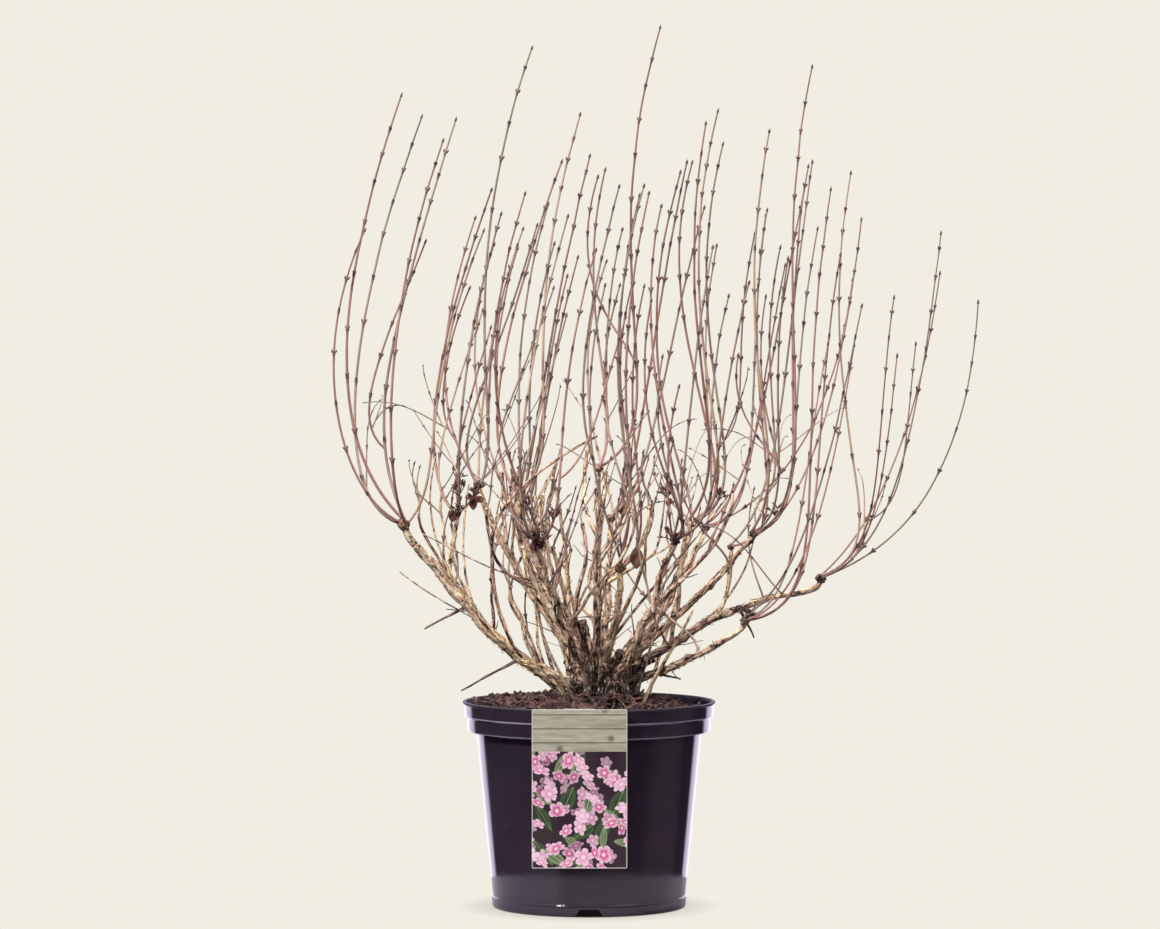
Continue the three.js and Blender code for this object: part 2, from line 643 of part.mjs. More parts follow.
/** Everything that the clearance test has to know about one mass while it grows. */
class Mass {
  constructor(row, index, bough) {
    this.row = row;
    this.random = seeded(SEED + 101 * (index + 1));
    this.head = vector(row.head);
    this.stem = stemCurve(row, bough.curve);
    this.stemRadius = boughRadius(bough.row, row.at) * (row.at === 1 ? 1 : STEM.side);
    this.twigs = [];
    const middle = new THREE.Vector3();
    for (const tip of row.tips) middle.add(vector(tip));
    this.middle = middle.divideScalar(row.tips.length);
  }

  /** Level direction away from the middle of the plant, turned a little towards the tip. */
  outwardTo(tip) {
    const away = new THREE.Vector3(this.head.x - STOOL.x, this.head.y - STOOL.y, 0);
    const across = new THREE.Vector3(tip.x - this.head.x, tip.y - this.head.y, 0);
    const pull = away.multiplyScalar(TWIG.away).add(across);
    return pull.divideScalar(Math.max(pull.length(), TWIG.fullPull));
  }

  /** A twig from the head, rooted on the side where no other twig is yet. */
  fromHead(tip) {
    const turn = GOLDEN_ANGLE * this.twigs.length + between(this.random, ROOT_TURN);
    const spot = direction(turn, between(this.random, ROOT_LIFT));
    const root = this.head.clone().addScaledVector(spot, TWIG.rooted * this.stemRadius);
    const outward = this.outwardTo(tip).addScaledVector(spot, TWIG.fan);
    return this.propose(root, tip, outward);
  }

  propose(root, tip, outward) {
    const lift = this.row.lift + between(this.random, TWIG.liftSpread);
    const curve = twigCurve(root, tip, outward, lift, this.random);
    const twig = { curve, length: root.distanceTo(tip) * TWIG.curved };
    const swollen = (share) => twigRadius(twig, share) * TWIG.nodeSwell;
    twig.pieces = traced(curve, TWIG.samples, swollen, this);
    return twig;
  }

  /** A twig keeps to the mass's space: a cone from its head, cut off at its middle height. */
  keepsToSpace(twig) {
    if (twig.curve.getPoint(1).z > this.middle.z) return false;
    return twig.pieces.every(({ to }) => {
      const rise = (to.z - this.head.z) / (this.middle.z - this.head.z);
      const share = THREE.MathUtils.clamp(rise, 0, 1);
      const axis = this.head.clone().lerp(this.middle, share);
      return Math.hypot(to.x - axis.x, to.y - axis.y) < STEM.neck + this.row.room * share;
    });
  }

  isFree(twig, limbs) {
    const near = twig.pieces.slice(1);
    const others = limbs.filter((limbPiece) => limbPiece.owner !== this);
    return isClear(near, others, TWIG.clear);
  }

  add(twig, limbs) {
    this.twigs.push(twig);
    limbs.push(...twig.pieces);
  }

  /** One of the mass's longest twigs. It bends a little more or less until it is clear. */
  growLeader(tip, limbs) {
    for (let attempt = 0; attempt < TWIG.tries; attempt += 1) {
      const twig = this.fromHead(tip);
      if (this.isFree(twig, limbs)) {
        this.add(twig, limbs);
        return;
      }
    }
    throw new Error(`${this.row.name}: no clear way to the tip at ${tip.toArray()}`);
  }

  /** A shorter twig, from the head or low on a longer one. It is skipped if nothing is clear. */
  growFiller(limbs) {
    for (let attempt = 0; attempt < TWIG.tries; attempt += 1) {
      const parent = this.twigs[Math.floor(this.random() * this.row.tips.length)];
      const fork = parent.curve.getPoint(between(this.random, FILLER.fork));
      const reach = between(this.random, FILLER.reach);
      const tip = this.head.clone().lerp(parent.curve.getPoint(1), reach);
      const heading = 360 * this.random();
      tip.addScaledVector(direction(heading, 0), between(this.random, FILLER.aside));
      const forked = this.random() < FILLER.forked;
      const twig = forked ? this.propose(fork, tip, this.outwardTo(tip)) : this.fromHead(tip);
      if (this.keepsToSpace(twig) && this.isFree(twig, limbs)) {
        this.add(twig, limbs);
        return;
      }
    }
  }

  /** The stem with its swollen head. */
  stemSolid() {
    const radius = this.stemRadius;
    const taper = [[0, radius], [0.5, radius * 0.95], [1, radius * 0.85]];
    const stem = limb(this.stem, taper, STEM.facets);
    const knob = new THREE.IcosahedronGeometry(radius * STEM.swell, 0);
    knob.translate(this.head.x, this.head.y, this.head.z);
    return stem.add(solid(knob));
  }

  twigSolid(twig) {
    const length = twig.curve.getLength();
    const stations = [0, 0.09, 0.18].map((share) => [share, twigRadius(twig, share)]);
    const half = TWIG.nodeHalf / length;
    const budded = 1 - TWIG.bare;
    const count = Math.max(2, Math.round((length * budded) / TWIG.nodeStep));
    for (let node = 0; node < count; node += 1) {
      const share = TWIG.bare + (budded * node) / count;
      const radius = twigRadius(twig, share);
      stations.push([share - half, radius], [share, radius * TWIG.nodeSwell], [share + half, radius]);
    }
    stations.push([1 - 2 * half, TWIG.end], [1 - half, TWIG.end * 1.6], [1, TWIG.end * 0.4]);
    return limb(twig.curve, stations, TWIG.facets);
  }

  body(bough) {
    const grown = boughSolid(bough.row, bough.curve, GAP + 0.05);
    let stem = this.stemSolid();
    if (this.row.at < 1) stem = stem.subtract(grown);
    return largest(this.twigs.reduce((whole, twig) => whole.add(this.twigSolid(twig)), stem));
  }
}

// ---------------------------------------------------------------- the plant

function buildPlant() {
  const stool = stoolSolid(0);
  const grownStool = stoolSolid(GAP + 0.05);
  const meshes = [piece('stool', stool, MATERIALS.stump)];
  const limbs = [];
  const boughs = new Map();
  const thickest = 1 + BOUGH.uneven;
  for (const row of BOUGHS) {
    const curve = boughCurve(row);
    const [body] = boughSolid(row, curve, 0)
      .subtract(grownStool)
      .decompose()
      .sort((one, other) => other.volume() - one.volume());
    meshes.push(piece(row.name, body, MATERIALS.bark));
    boughs.set(row.name, { row, curve });
    limbs.push(...traced(curve, BOUGH.rings, (share) => boughRadius(row, share) * thickest, row.name));
    for (const line of spurLines(row, curve)) {
      limbs.push(...traced(line, 2, () => SPUR.radius * SPUR.swell, row.name));
    }
  }
  const masses = MASSES.map((row, index) => new Mass(row, index, boughs.get(row.bough)));
  for (const mass of masses) {
    limbs.push(...traced(mass.stem, 4, () => mass.stemRadius * STEM.swell, mass));
  }
  for (const mass of masses) {
    for (const tip of mass.row.tips) mass.growLeader(vector(tip), limbs);
  }
  for (const mass of masses) {
    for (let count = 0; count < mass.row.fill; count += 1) mass.growFiller(limbs);
  }
  for (const mass of masses) {
    meshes.push(piece(mass.row.name, mass.body(boughs.get(mass.row.bough)), MATERIALS.twig));
  }
  return meshes;
}

const weigela = new THREE.Group();
weigela.add(pot(), soil(), label(), ...buildPlant());

export default weigela;
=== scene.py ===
"""A bare winter weigela in a nursery pot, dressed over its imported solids.

The twigs are grown by the rule of the solids' own source and carried on to finer ones. The
plant's rows are in millimetres, as a grower would measure it; meshes and settings are in metres.
"""

import math
from collections import namedtuple

import bmesh
import bpy
import numpy as np
from mathutils import Euler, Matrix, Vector, noise
from numpy.linalg import norm


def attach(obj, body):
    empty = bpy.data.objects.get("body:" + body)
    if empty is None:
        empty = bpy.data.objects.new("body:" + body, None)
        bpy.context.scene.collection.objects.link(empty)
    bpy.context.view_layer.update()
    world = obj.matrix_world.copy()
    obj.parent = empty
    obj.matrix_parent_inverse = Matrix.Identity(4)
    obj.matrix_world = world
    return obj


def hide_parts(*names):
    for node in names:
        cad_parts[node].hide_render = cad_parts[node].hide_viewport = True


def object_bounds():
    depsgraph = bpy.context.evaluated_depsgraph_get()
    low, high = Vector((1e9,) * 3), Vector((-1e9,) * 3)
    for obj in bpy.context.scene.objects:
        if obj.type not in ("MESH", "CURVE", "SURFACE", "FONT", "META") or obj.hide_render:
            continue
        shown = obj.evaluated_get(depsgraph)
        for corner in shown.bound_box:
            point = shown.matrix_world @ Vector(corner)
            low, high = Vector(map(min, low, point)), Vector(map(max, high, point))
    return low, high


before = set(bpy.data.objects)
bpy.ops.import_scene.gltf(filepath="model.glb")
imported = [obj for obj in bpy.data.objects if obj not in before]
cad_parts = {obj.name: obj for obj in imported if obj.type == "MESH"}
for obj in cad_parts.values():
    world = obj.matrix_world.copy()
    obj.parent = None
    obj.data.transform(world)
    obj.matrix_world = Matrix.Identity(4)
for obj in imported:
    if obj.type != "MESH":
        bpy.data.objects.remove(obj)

CAD_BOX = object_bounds()

bl_info = {
    "name": "Winter weigela",
    "version": (1, 0, 0),
    "blender": (4, 5, 0),
    "location": "3D View > Sidebar > Weigela",
    "description": "A bare weigela in a nursery pot, grown from its boughs by a seeded rule",
    "category": "Add Mesh",
}

MM = 0.001
SEED = 7129
GAP = 0.3  # clearance between pieces that touch

# ---- pot, compost and label

POT_HEIGHT = 228
LIP_RADIUS = 140
LIP_DEPTH = 3
UPPER_RADIUS = 138.5  # upper band of the stepped collar
UPPER_EDGE = 211  # height where the upper band steps in
LOWER_RADIUS = 135  # lower band of the collar
LOWER_EDGE = 194
NECK_RADIUS = 124.5
FOOT_RADIUS = 108
FOOT_STEP = 1.2
FOOT_HEIGHT = 12
POT_FLOOR = 9  # height of the underside between pad and foot ring
PAD_RADIUS = 30
RING_WIDTH = 5
RING_SLOPE = 3
COLLAR_STEP = 1
COLLAR_INSET = 0.8
NOTCH_COUNT = 4
NOTCH_WIDTH = 32
NOTCH_TOP = 21
NOTCH_HEIGHT = 8.5
POT_FACETS = 192

SOIL_LEVEL = 220
SOIL_TILT = 0.04
SOIL_FACETS = 220
SOIL_RINGS = 74
MOUND = 9
MOUND_RADIUS = 75
LUMP = 2.2
SEAT_RADIUS = 47
SEAT_BLEND = 12
SEAT = 232  # height of the flat cut under the stool

LABEL_WIDTH = 103
LABEL_HEIGHT = 172
LABEL_THICK = 1
LABEL_OFFSET = -10.5
LABEL_HOOK_WIDTH = 34
LABEL_HOOK_DEPTH = 5
LABEL_PICTURE_TOP = 0.735  # where the boards meet the picture, as a share of the card's height

# ---- rows of the plant

STOOL = np.array([12.0, 0.0, SEAT])
STOOL_RADIUS = 33
STOOL_MIDDLE = 12
STOOL_SQUASH = 0.83
STOOL_LUMPS = 5
STOOL_RING = 24
LUMP_RADIUS = (13, 18)
LUMP_HEIGHT = (4, 24)
LUMP_TURN = 25
STUMP_ROOT = 6
STOOL_STUBS = 22  # short broken stems around the stool
STOOL_STUB_LENGTH = (16, 58)
STOOL_STUB_ACROSS = (4, 9)
# Cut stems on the stool: heading, lean from upright, length and thickness.
STUMPS = [(200, 16, 82, 13), (310, 38, 58, 12), (75, 30, 62, 14), (150, 52, 54, 11)]

# A bough leaves the stool towards the heading start, at an elevation of leave degrees, comes to
# its tip at arrive degrees, and tapers from thick to thin.
Bough = namedtuple("Bough", "name tip start leave arrive thick thin")
BOUGHS = [Bough(*row) for row in (
    ("left_low", (-191, -45, 403), 188, 14, 48, 15, 11),
    ("left_mid", (-116, 62, 440), 158, 52, 64, 11, 9),
    ("left_inner", (-74, -52, 436), 222, 62, 78, 10, 8),
    ("front_left", (-50, -128, 385), 250, 32, 56, 11, 8),
    ("back_left", (-74, 132, 392), 126, 34, 56, 11, 8),
    ("centre", (10, 14, 462), 110, 80, 84, 11, 8),
    ("fork", (34, -50, 352), 285, 72, 80, 12, 9),
    ("front_right", (84, -130, 390), 306, 30, 58, 11, 8),
    ("back_mid", (24, 144, 400), 84, 36, 60, 11, 8),
    ("right_mid", (164, -60, 396), 352, 48, 52, 10, 7.5),
    ("right_inner", (110, 66, 398), 30, 58, 78, 9, 7.5),
    ("right_low", (206, 8, 343), 12, 34, 14, 12, 8.5),
    ("right_under", (146, -84, 300), 330, 16, 30, 10, 8),
    ("back_right", (122, 124, 392), 58, 32, 54, 11, 8),
)]
# Dead spurs: bough, share of its length, tip.
SPURS = [
    ("left_low", 0.3, (-140, -50, 243)),
    ("left_low", 0.64, (-181, -42, 310)),
    ("right_low", 0.8, (184, 30, 296)),
    ("right_under", 0.35, (101, -28, 254)),
]
STRAW_BOUGHS = {"left_low", "left_mid", "fork", "back_left"}
BARK_SLIM = (0.96, 0.76)  # how slim the bark is on the solids' limbs, at root and tip
STOUT_SLIM = (0.96, 0.9)  # the same for the stoutest bough
BOUGH_START = 27
BOUGH_INWARD = 0.75
BOUGH_ROOT = 10
BOUGH_RISE = 12
BOUGH_LEAVING = 0.36
BOUGH_ARRIVING = 0.34
BOUGH_UNEVEN = 0.07
BOUGH_RINGS = 6
BOUGH_BEND = 2.6
STAIN_AND_SHADE_FOOT = 240  # height where the painted shade and compost stain on the bark are full
# Barks: light, middle and dark colour, how worn, how dark the painted shade and compost stain make the foot,
# and the height of their top.
BARKS = {
    "Stool bark": ((220, 178, 150), (80, 52, 44), (10, 6, 6), 0.52, 0.95),
    "Brown bark": ((226, 188, 166), (170, 128, 112), (54, 33, 29), 0.37, 0.9, 312),
    "Dead bark": ((128, 106, 92), (96, 78, 70), (50, 38, 36), 0.35),
    "Loose bark": ((214, 192, 158), (190, 162, 128), (112, 84, 66), 0.12),
    "Head bark": ((156, 120, 98), (100, 72, 62), (40, 27, 25), 0.42),
}
SPUR_RADIUS = 1.3
SPUR_SWELL = 1.5
FLARE_STEEP = 60  # boughs that leave the stool more steeply have no flare
FLARE_SHARE = 0.28
FLARE_REACH = (36, 44)

# A mass grows from one stem on its bough, at a share of the bough's length. Tips are the ends of
# its longest twigs, room is the half-width of its space, lift how steeply its twigs start.
MassRow = namedtuple("MassRow", "name bough at head lift room tips")
MASSES = [MassRow(*row) for row in (
    ("left_outer", "left_low", 1, (-203, -49, 425), 0.2, 95,
     [(-204, -62, 898), (-184, 4, 878), (-157, -112, 846), (-145, -50, 872), (-243, -76, 750)]),
    ("left_tall", "left_low", 0.72, (-146, -14, 436), 0.35, 80,
     [(-62, -8, 953), (-108, 56, 799), (-95, -76, 768)]),
    ("left_mid", "left_mid", 1, (-124, 70, 466), 0.35, 80,
     [(-71, 92, 796), (-57, 40, 759), (-128, 136, 770)]),
    ("left_inner", "left_inner", 1, (-76, -56, 460), 0.35, 80,
     [(-37, -100, 735), (-29, -24, 827), (-9, -60, 877)]),
    ("front_left", "front_left", 1, (-56, -144, 408), 0.15, 90,
     [(-85, -228, 700), (-22, -190, 762), (8, -140, 727)]),
    ("back_left", "back_left", 1, (-82, 151, 414), 0.15, 95,
     [(-108, 216, 742), (2, 146, 841), (-46, 259, 790)]),
    ("centre", "centre", 1, (10, 16, 486), 0.35, 70,
     [(80, 24, 978), (34, -20, 800), (19, 64, 822)]),
    ("fork", "fork", 1, (34, -54, 378), 0.35, 80,
     [(60, -118, 797), (66, -64, 791), (18, -96, 690)]),
    ("front_right", "front_right", 1, (92, -154, 412), 0.15, 100,
     [(66, -226, 672), (132, -186, 729), (78, -152, 774), (168, -266, 690)]),
    ("back_mid", "back_mid", 1, (25, 166, 424), 0.15, 95,
     [(60, 247, 800), (113, 170, 835), (22, 295, 724)]),
    ("right_mid", "right_mid", 1, (180, -66, 416), 0.35, 95,
     [(245, -46, 930), (196, -96, 857), (243, -4, 823), (214, -148, 718)]),
    ("right_inner", "right_inner", 1, (113, 70, 422), 0.35, 90,
     [(145, 52, 887), (130, 10, 871), (152, 96, 852), (105, 134, 822)]),
    ("right_arch", "right_low", 0.6, (158, 18, 398), 0.2, 90,
     [(307, 84, 767), (250, 48, 830), (198, 8, 775)]),
    ("right_outer", "right_low", 1, (258, 10, 363), 0.08, 130,
     [(431, 0, 673), (393, 52, 706), (386, -48, 748), (332, -88, 677), (292, 30, 817)]),
    ("right_under", "right_under", 1, (170, -92, 322), 0.15, 110,
     [(261, -125, 793), (292, -170, 667), (275, -66, 724)]),
    ("back_right", "back_right", 1, (133, 144, 414), 0.15, 110,
     [(204, 196, 775), (246, 140, 806), (150, 271, 742), (300, 130, 700)]),
)]
FILLERS = 2  # shorter twigs of a mass that the solids have too

# Thin stems too slender for the solids: the bough that each springs from and the share of its
# length, thickness at root and tip, and the points that shape it. One without a bough starts at
# its first point.
THIN_STEMS = [
    (None, 0, 4.6, 3.0, (58, -40, 222), (70, -46, 262), (96, -56, 290), (113, -66, 332)),
    (None, 0, 3.6, 2.2, (52, -30, 228), (58, -36, 270), (74, -46, 300), (84, -56, 352)),
    (None, 0, 4.4, 2.8, (66, 34, 226), (74, 46, 270), (96, 64, 310), (104, 84, 372)),
    (None, 0, 4.2, 2.6, (-30, 40, 230), (-44, 66, 268), (-58, 92, 300), (-60, 110, 356)),
    (None, 0, 3.8, 2.2, (-14, -42, 228), (-30, -58, 262), (-52, -70, 290), (-58, -92, 342)),
    ("left_inner", 0.55, 4.4, 2.4, (-150, -92, 380), (-112, -94, 462), (9, -80, 523)),
    ("left_low", 0.42, 3.4, 1.8, (-128, -60, 320), (-150, -40, 372), (-132, -24, 470)),
    ("left_low", 0.28, 3.4, 1.6, (-92, -52, 300), (-120, -60, 352), (-98, -70, 452)),
    ("left_low", 0.6, 3.0, 1.6, (-150, -60, 370), (-190, -40, 420), (-168, -50, 500)),
    ("front_left", 0.35, 3.2, 1.8, (-20, -90, 330), (-60, -100, 380), (-84, -96, 452)),
    ("right_low", 0.5, 3.0, 1.6, (150, 20, 330), (190, 40, 372), (186, 60, 440)),
    ("fork", 0.4, 3.6, 1.8, (60, -60, 350), (106, -70, 392), (160, -70, 470)),
    ("left_inner", 0.3, 3.4, 1.8, (-10, -60, 352), (22, -72, 404), (76, -84, 484)),
    ("fork", 0.15, 3.0, 1.7, (2, -66, 318), (20, -84, 380), (50, -92, 462)),
    ("centre", 0.45, 5.0, 3.4, (24, -24, 366), (50, -40, 376), (72, -50, 394)),
    (None, 0, 2.6, 1.5, (70, -49, 392), (82, -56, 408), (80, -54, 452), (92, -62, 520)),
    (None, 0, 2.4, 1.4, (71, -49, 393), (92, -50, 396), (112, -44, 430), (120, -50, 486)),
    ("left_inner", 0.6, 2.2, 1.2, (-110, -60, 372), (-140, -70, 396), (-182, -74, 416)),
    ("left_inner", 0.35, 1.8, 1.0, (-22, -60, 328), (6, -80, 322), (42, -84, 331)),
    ("left_low", 0.55, 2.0, 1.2, (-160, -50, 340), (-178, -52, 350), (-208, -56, 374)),
    ("left_mid", 0.5, 2.8, 1.5, (-84, 20, 390), (-60, -10, 430), (-34, -40, 500)),
    ("right_low", 0.35, 2.8, 1.6, (70, -30, 316), (50, -40, 372), (70, -46, 452)),
]
SIDE_STEMS_OF = {
    "left_low": 8, "left_mid": 4, "front_left": 4, "left_inner": 5, "back_left": 3, "right_inner": 0,
    "right_mid": 0, "right_under": 0, "front_right": 1, "right_low": 1, "back_right": 0, "fork": 1,
    "centre": 4,
}
SIDE_STEMS = 2  # of a bough that the list above leaves out
SIDE_TOP = 505  # height that the side stems keep below

# Clusters of dry seed capsules: the place each is nearest to.
SEED_HEADS = [
    (-115, -60, 446), (-131, -50, 455), (-79, -70, 453), (-65, -80, 388), (-34, -100, 334),
    (140, -60, 304), (81, -118, 386), (100, -76, 456), (-23, -70, 431), (-143, -46, 407),
    (60, 120, 440), (150, 60, 446), (-40, 150, 430), (210, -40, 430), (-150, 60, 470),
]
# Dead leaves caught in the twigs: the place each clump is nearest to, its leaves, and their size.
DRY_LEAVES = [
    ((57, -112, 397), 1, 1.0), ((-121, -50, 447), 3, 0.62), ((-66, -90, 390), 4, 0.6),
    ((-35, -80, 336), 3, 0.42), ((-153, -60, 412), 1, 0.6), ((99, -90, 456), 2, 0.4),
    ((40, 150, 440), 2, 0.6),
]

# ---- the rule for twigs

TWIG_ROOT = 2.5
TWIG_SHORT_ROOT = 1.2
TWIG_THICKEN = 380
TWIG_END = 1.05
NODE_SWELL = 1.9
TWIG_SAMPLES = 14
TWIG_CLEAR = 0.8
TWIG_LEAN = 0.3
TWIG_GATHER = 0.0005
TWIG_ROOTED = 0.9
TWIG_FAN = 0.45
TWIG_AWAY = 0.4
TWIG_FULL_PULL = 90
TWIG_BOW = 0.22
TWIG_RISE = 0.58
REACH_SPREAD = (0.85, 1.15)
SWAY_SPREAD = (-0.06, 0.06)
LIFT_SPREAD = (0, 0.4)
TWIG_CURVED = 1.06
TWIG_TRIES = 60
FILLER_FORK = (0.12, 0.42)
FILLER_REACH = (0.6, 0.9)
FILLER_ASIDE = (18, 58)
FILLER_FORKED = 0.4
STEM_SIDE = 0.62
STEM_SWELL = 1.5
STEM_HANDLE = 0.3
STEM_NECK = 34
GOLDEN_ANGLE = 137.5
ROOT_TURN = (0, 40)
ROOT_LIFT = (10, 40)

# Short thin side twigs that the solids leave out.
BRANCHLET_LENGTH = (34, 120)
BRANCHLET_THICK = 0.85
BRANCHLET_THIN = 0.45
BRANCHLET_FORK = (0.0, 0.3)
BRANCHLET_LIFT = (5, 70)

# Old thin stems that fork from the boughs, and the slender shoots on them.
SIDE_SHARE = (0.12, 0.8)
SIDE_TURN = (-80, 80)
SIDE_AIM = (35, 85)
SIDE_RISE = (52, 86)
SIDE_LENGTH = (60, 190)
SIDE_THICK = (3.4, 6.0)
SIDE_TAPER = 0.72
SIDE_TRIES = 14
SHOOT_RISE = (50, 230)
SHOOT_LEAN = (0.05, 0.6)
SHOOT_HEADING = (-75, 75)
SHOOT_LEFT = 0.28  # share of side shoots that lean the other way
SHOOT_THICK = (1.0, 1.6)
SHOOT_THIN = 0.65
SHOOT_TOP = 512
SLIM = (0.69, 0.48)  # how slim the wands are at their roots, and towards the far right
SLIM_FROM = (100, 390)  # where that starts and ends
SLIM_TIP = 0.18  # how much less slim they are at their tips
STUB_LENGTH = (4, 56)
STUB_RADIUS = (0.45, 1.1)
ALONG_BOUGH = (0.08, 0.97)  # where stubs and flakes may sit
BEND_LENGTHS = (7, 16)  # lengths of the small bends in a limb
NO_OWNER = -1  # for a limb that has to be clear of all others
BRANCHLET_CLEAR = -0.3  # short side twigs may reach this far into other limbs
SHOOT_CLEAR = -0.4  # and side shoots this far
SIDE_CLEAR = 0.2
OLD_WOOD = 3000  # owner of the side stems and their shoots
CROWN_LOW = 262  # short side twigs keep above this height
CROWN_EDGE = 4  # side shoots and short side twigs keep this far inside the solids' box

# Where the rings of a twig lie: their distance, those at a joint from its middle, and how far from
# a joint the others stay.
MARK_STEP = 9.0
JOINT_MARKS = (-2.6, -1.0, 0.4, 2.2)
JOINT_FREE = 3.4

# Seed heads and dead leaves.
STALKS = 7
STALK_LENGTH = (4, 13)
STALK_CAPSULES = 3
LEAF_HALF = 7.5  # half of a leaf's width
LEAF_LENGTH = 24

# ---- settings


def linear(red, green, blue):
    """A colour given as 0 to 255 for a screen, as Blender's linear values."""
    shares = (value / 255 for value in (red, green, blue))
    return tuple(s / 12.92 if s <= 0.04045 else ((s + 0.055) / 1.055) ** 2.4 for s in shares)


def shaded(colour, factor, lift=0.0):
    return [min(1, value * factor + lift) for value in colour]


# Settings: a colour, a length, a share from 0 to 1, a whole number.


def swatch(name, description, *screen):
    return bpy.props.FloatVectorProperty(
        name=name, description=description, default=linear(*screen), subtype="COLOR", size=3, min=0, max=1
    )


def metres(name, description, default):
    return bpy.props.FloatProperty(
        name=name, description=description, default=default, min=0, unit="LENGTH", precision=4
    )


def fraction(name, description, default):
    return bpy.props.FloatProperty(
        name=name, description=description, default=default, min=0, max=1, subtype="FACTOR"
    )


def whole(name, description, default, least=0):
    return bpy.props.IntProperty(name=name, description=description, default=default, min=least)


class WeigelaPotSettings(bpy.types.PropertyGroup):
    """Pot and label."""

    wall: metres("Wall", "Thickness of the pot's wall", 2.2 * MM)
    corner: metres("Corner", "Rounding of the moulded edges", 1.1 * MM)
    plastic: swatch("Plastic", "Colour of the pot", 42, 34, 44)
    gloss: fraction("Roughness", "Roughness of the pot", 0.07)
    # Painted glints: the pale lines along the collar's edges.
    wear_and_glint: swatch("Painted edge glints", "Colour of the painted glints on the collar's edges", 190, 180, 208)
    card_corner: metres("Card corner", "Rounding of the label's corners", 1.6 * MM)
    planks: swatch("Planks", "Weathered boards printed on the label", 208, 202, 180)
    petals: swatch("Petals", "Main colour of the printed blossom", 208, 74, 138)


class WeigelaCompostSettings(bpy.types.PropertyGroup):
    """Compost and what lies on it."""

    chips: whole("Bark chips", "Number of bark chips on the compost", 2200)
    crumbs: whole("Crumbs", "Number of small crumbs", 4800)
    straws: whole("Straws", "Number of pale straws", 80)
    strands: whole("Root strands", "Number of thin dead roots around the stool", 46)
    soil: swatch("Soil", "Colour of the compost", 24, 14, 15)


class WeigelaBarkSettings(bpy.types.PropertyGroup):
    """Stool and old boughs."""

    relief: metres("Relief", "Depth of the bark's ridges", 0.75 * MM)
    ring_step: metres("Ring step", "Distance between a bough's rings", 2.0 * MM)
    sides: whole("Sides", "Sides of a bough", 26, 8)
    flakes: whole("Flakes", "Loose bark flakes on each bough", 70)
    straw: swatch("Straw", "Sound old bark", 236, 206, 170)
    dark: swatch("Dark", "Cracks and rotten bark", 76, 50, 42)


class WeigelaTwigSettings(bpy.types.PropertyGroup):
    """Young twigs and their buds."""

    side_stems: fraction("Side stems", "Share of the old thin side stems that are grown", 1)
    risers: whole("Risers", "Shoots that spring from each bough itself", 1)
    stubs: whole("Stubs", "Short dead stubs on each bough", 8)
    branchlets: whole("Branchlets", "Short thin side twigs in each mass", 5)
    node_step: metres("Node step", "Distance between two pairs of buds", 58 * MM)
    bud: metres("Bud", "Length of a bud", 4.7 * MM)
    sides: whole("Sides", "Sides of a twig", 8, 3)
    red: swatch("Red", "Sunny young bark", 171, 125, 111)
    grey: swatch("Grey", "Shaded young bark", 161, 137, 120)
    fawn: swatch("Fawn", "Two-year bark", 195, 163, 135)


class WeigelaStageSettings(bpy.types.PropertyGroup):
    """Floor, light and camera."""

    backdrop: swatch("Backdrop", "Colour of floor and backdrop", 241, 237, 226)
    distance: metres("Distance", "From the camera to the pot's middle", 5.0)
    height: metres("Height", "Height of the camera", 0.611)
    aim: metres("Aim", "Height that the camera looks at", 0.490)
    width: metres("Width", "Width of the picture at the pot's middle", 1.285)


# ---- curves and random numbers

WORD = 0xFFFFFFFF


def seeded(seed):
    """Repeatable random numbers from 0 to 1, the same as in the solids' source."""
    state = int(seed) & WORD

    def draw():
        nonlocal state
        state = (state + 0x6D2B79F5) & WORD
        mixed = ((state ^ (state >> 15)) * (state | 1)) & WORD
        mixed ^= (mixed + (((mixed ^ (mixed >> 7)) * (mixed | 61)) & WORD)) & WORD
        return (mixed ^ (mixed >> 14)) / 4294967296

    return draw


def between(draw, limits):
    low, high = limits
    return low + (high - low) * draw()


def lerp(low, high, share):
    return (1 - share) * low + share * high


def smoothstep(value, low, high):
    share = np.clip((value - low) / (high - low), 0, 1)
    return share * share * (3 - 2 * share)


def unit(vector):
    return vector / norm(vector)


def direction(heading, elevation):
    """The direction with this heading (from +X towards +Y) and elevation, in degrees."""
    turn = math.radians(heading)
    lift = math.radians(elevation)
    level = math.cos(lift)
    return np.array([level * math.cos(turn), level * math.sin(turn), math.sin(lift)])


class Curve:
    """A cubic curve from the first of four points to the last, shaped by the two between."""

    def __init__(self, *points):
        self.points = np.array(points, float)

    def at(self, share):
        share = np.asarray(share, float)[..., None]
        rest = 1 - share
        p = self.points
        return rest**3 * p[0] + 3 * rest**2 * share * p[1] + 3 * rest * share**2 * p[2] + share**3 * p[3]

    def tangent(self, share):
        step = 0.0001
        return unit(self.at(min(share + step, 1.0)) - self.at(max(share - step, 0.0)))

    def walked(self):
        """Fine points along the curve, and how far along it they lie."""
        fine = self.at(np.linspace(0, 1, 240))
        return fine, np.concatenate([[0], np.cumsum(norm(np.diff(fine, axis=0), axis=1))])

    def length(self):
        return self.walked()[1][-1]

    def points_at(self, distances):
        fine, walked = self.walked()
        return np.stack([np.interp(distances, walked, fine[:, k]) for k in range(3)], 1)


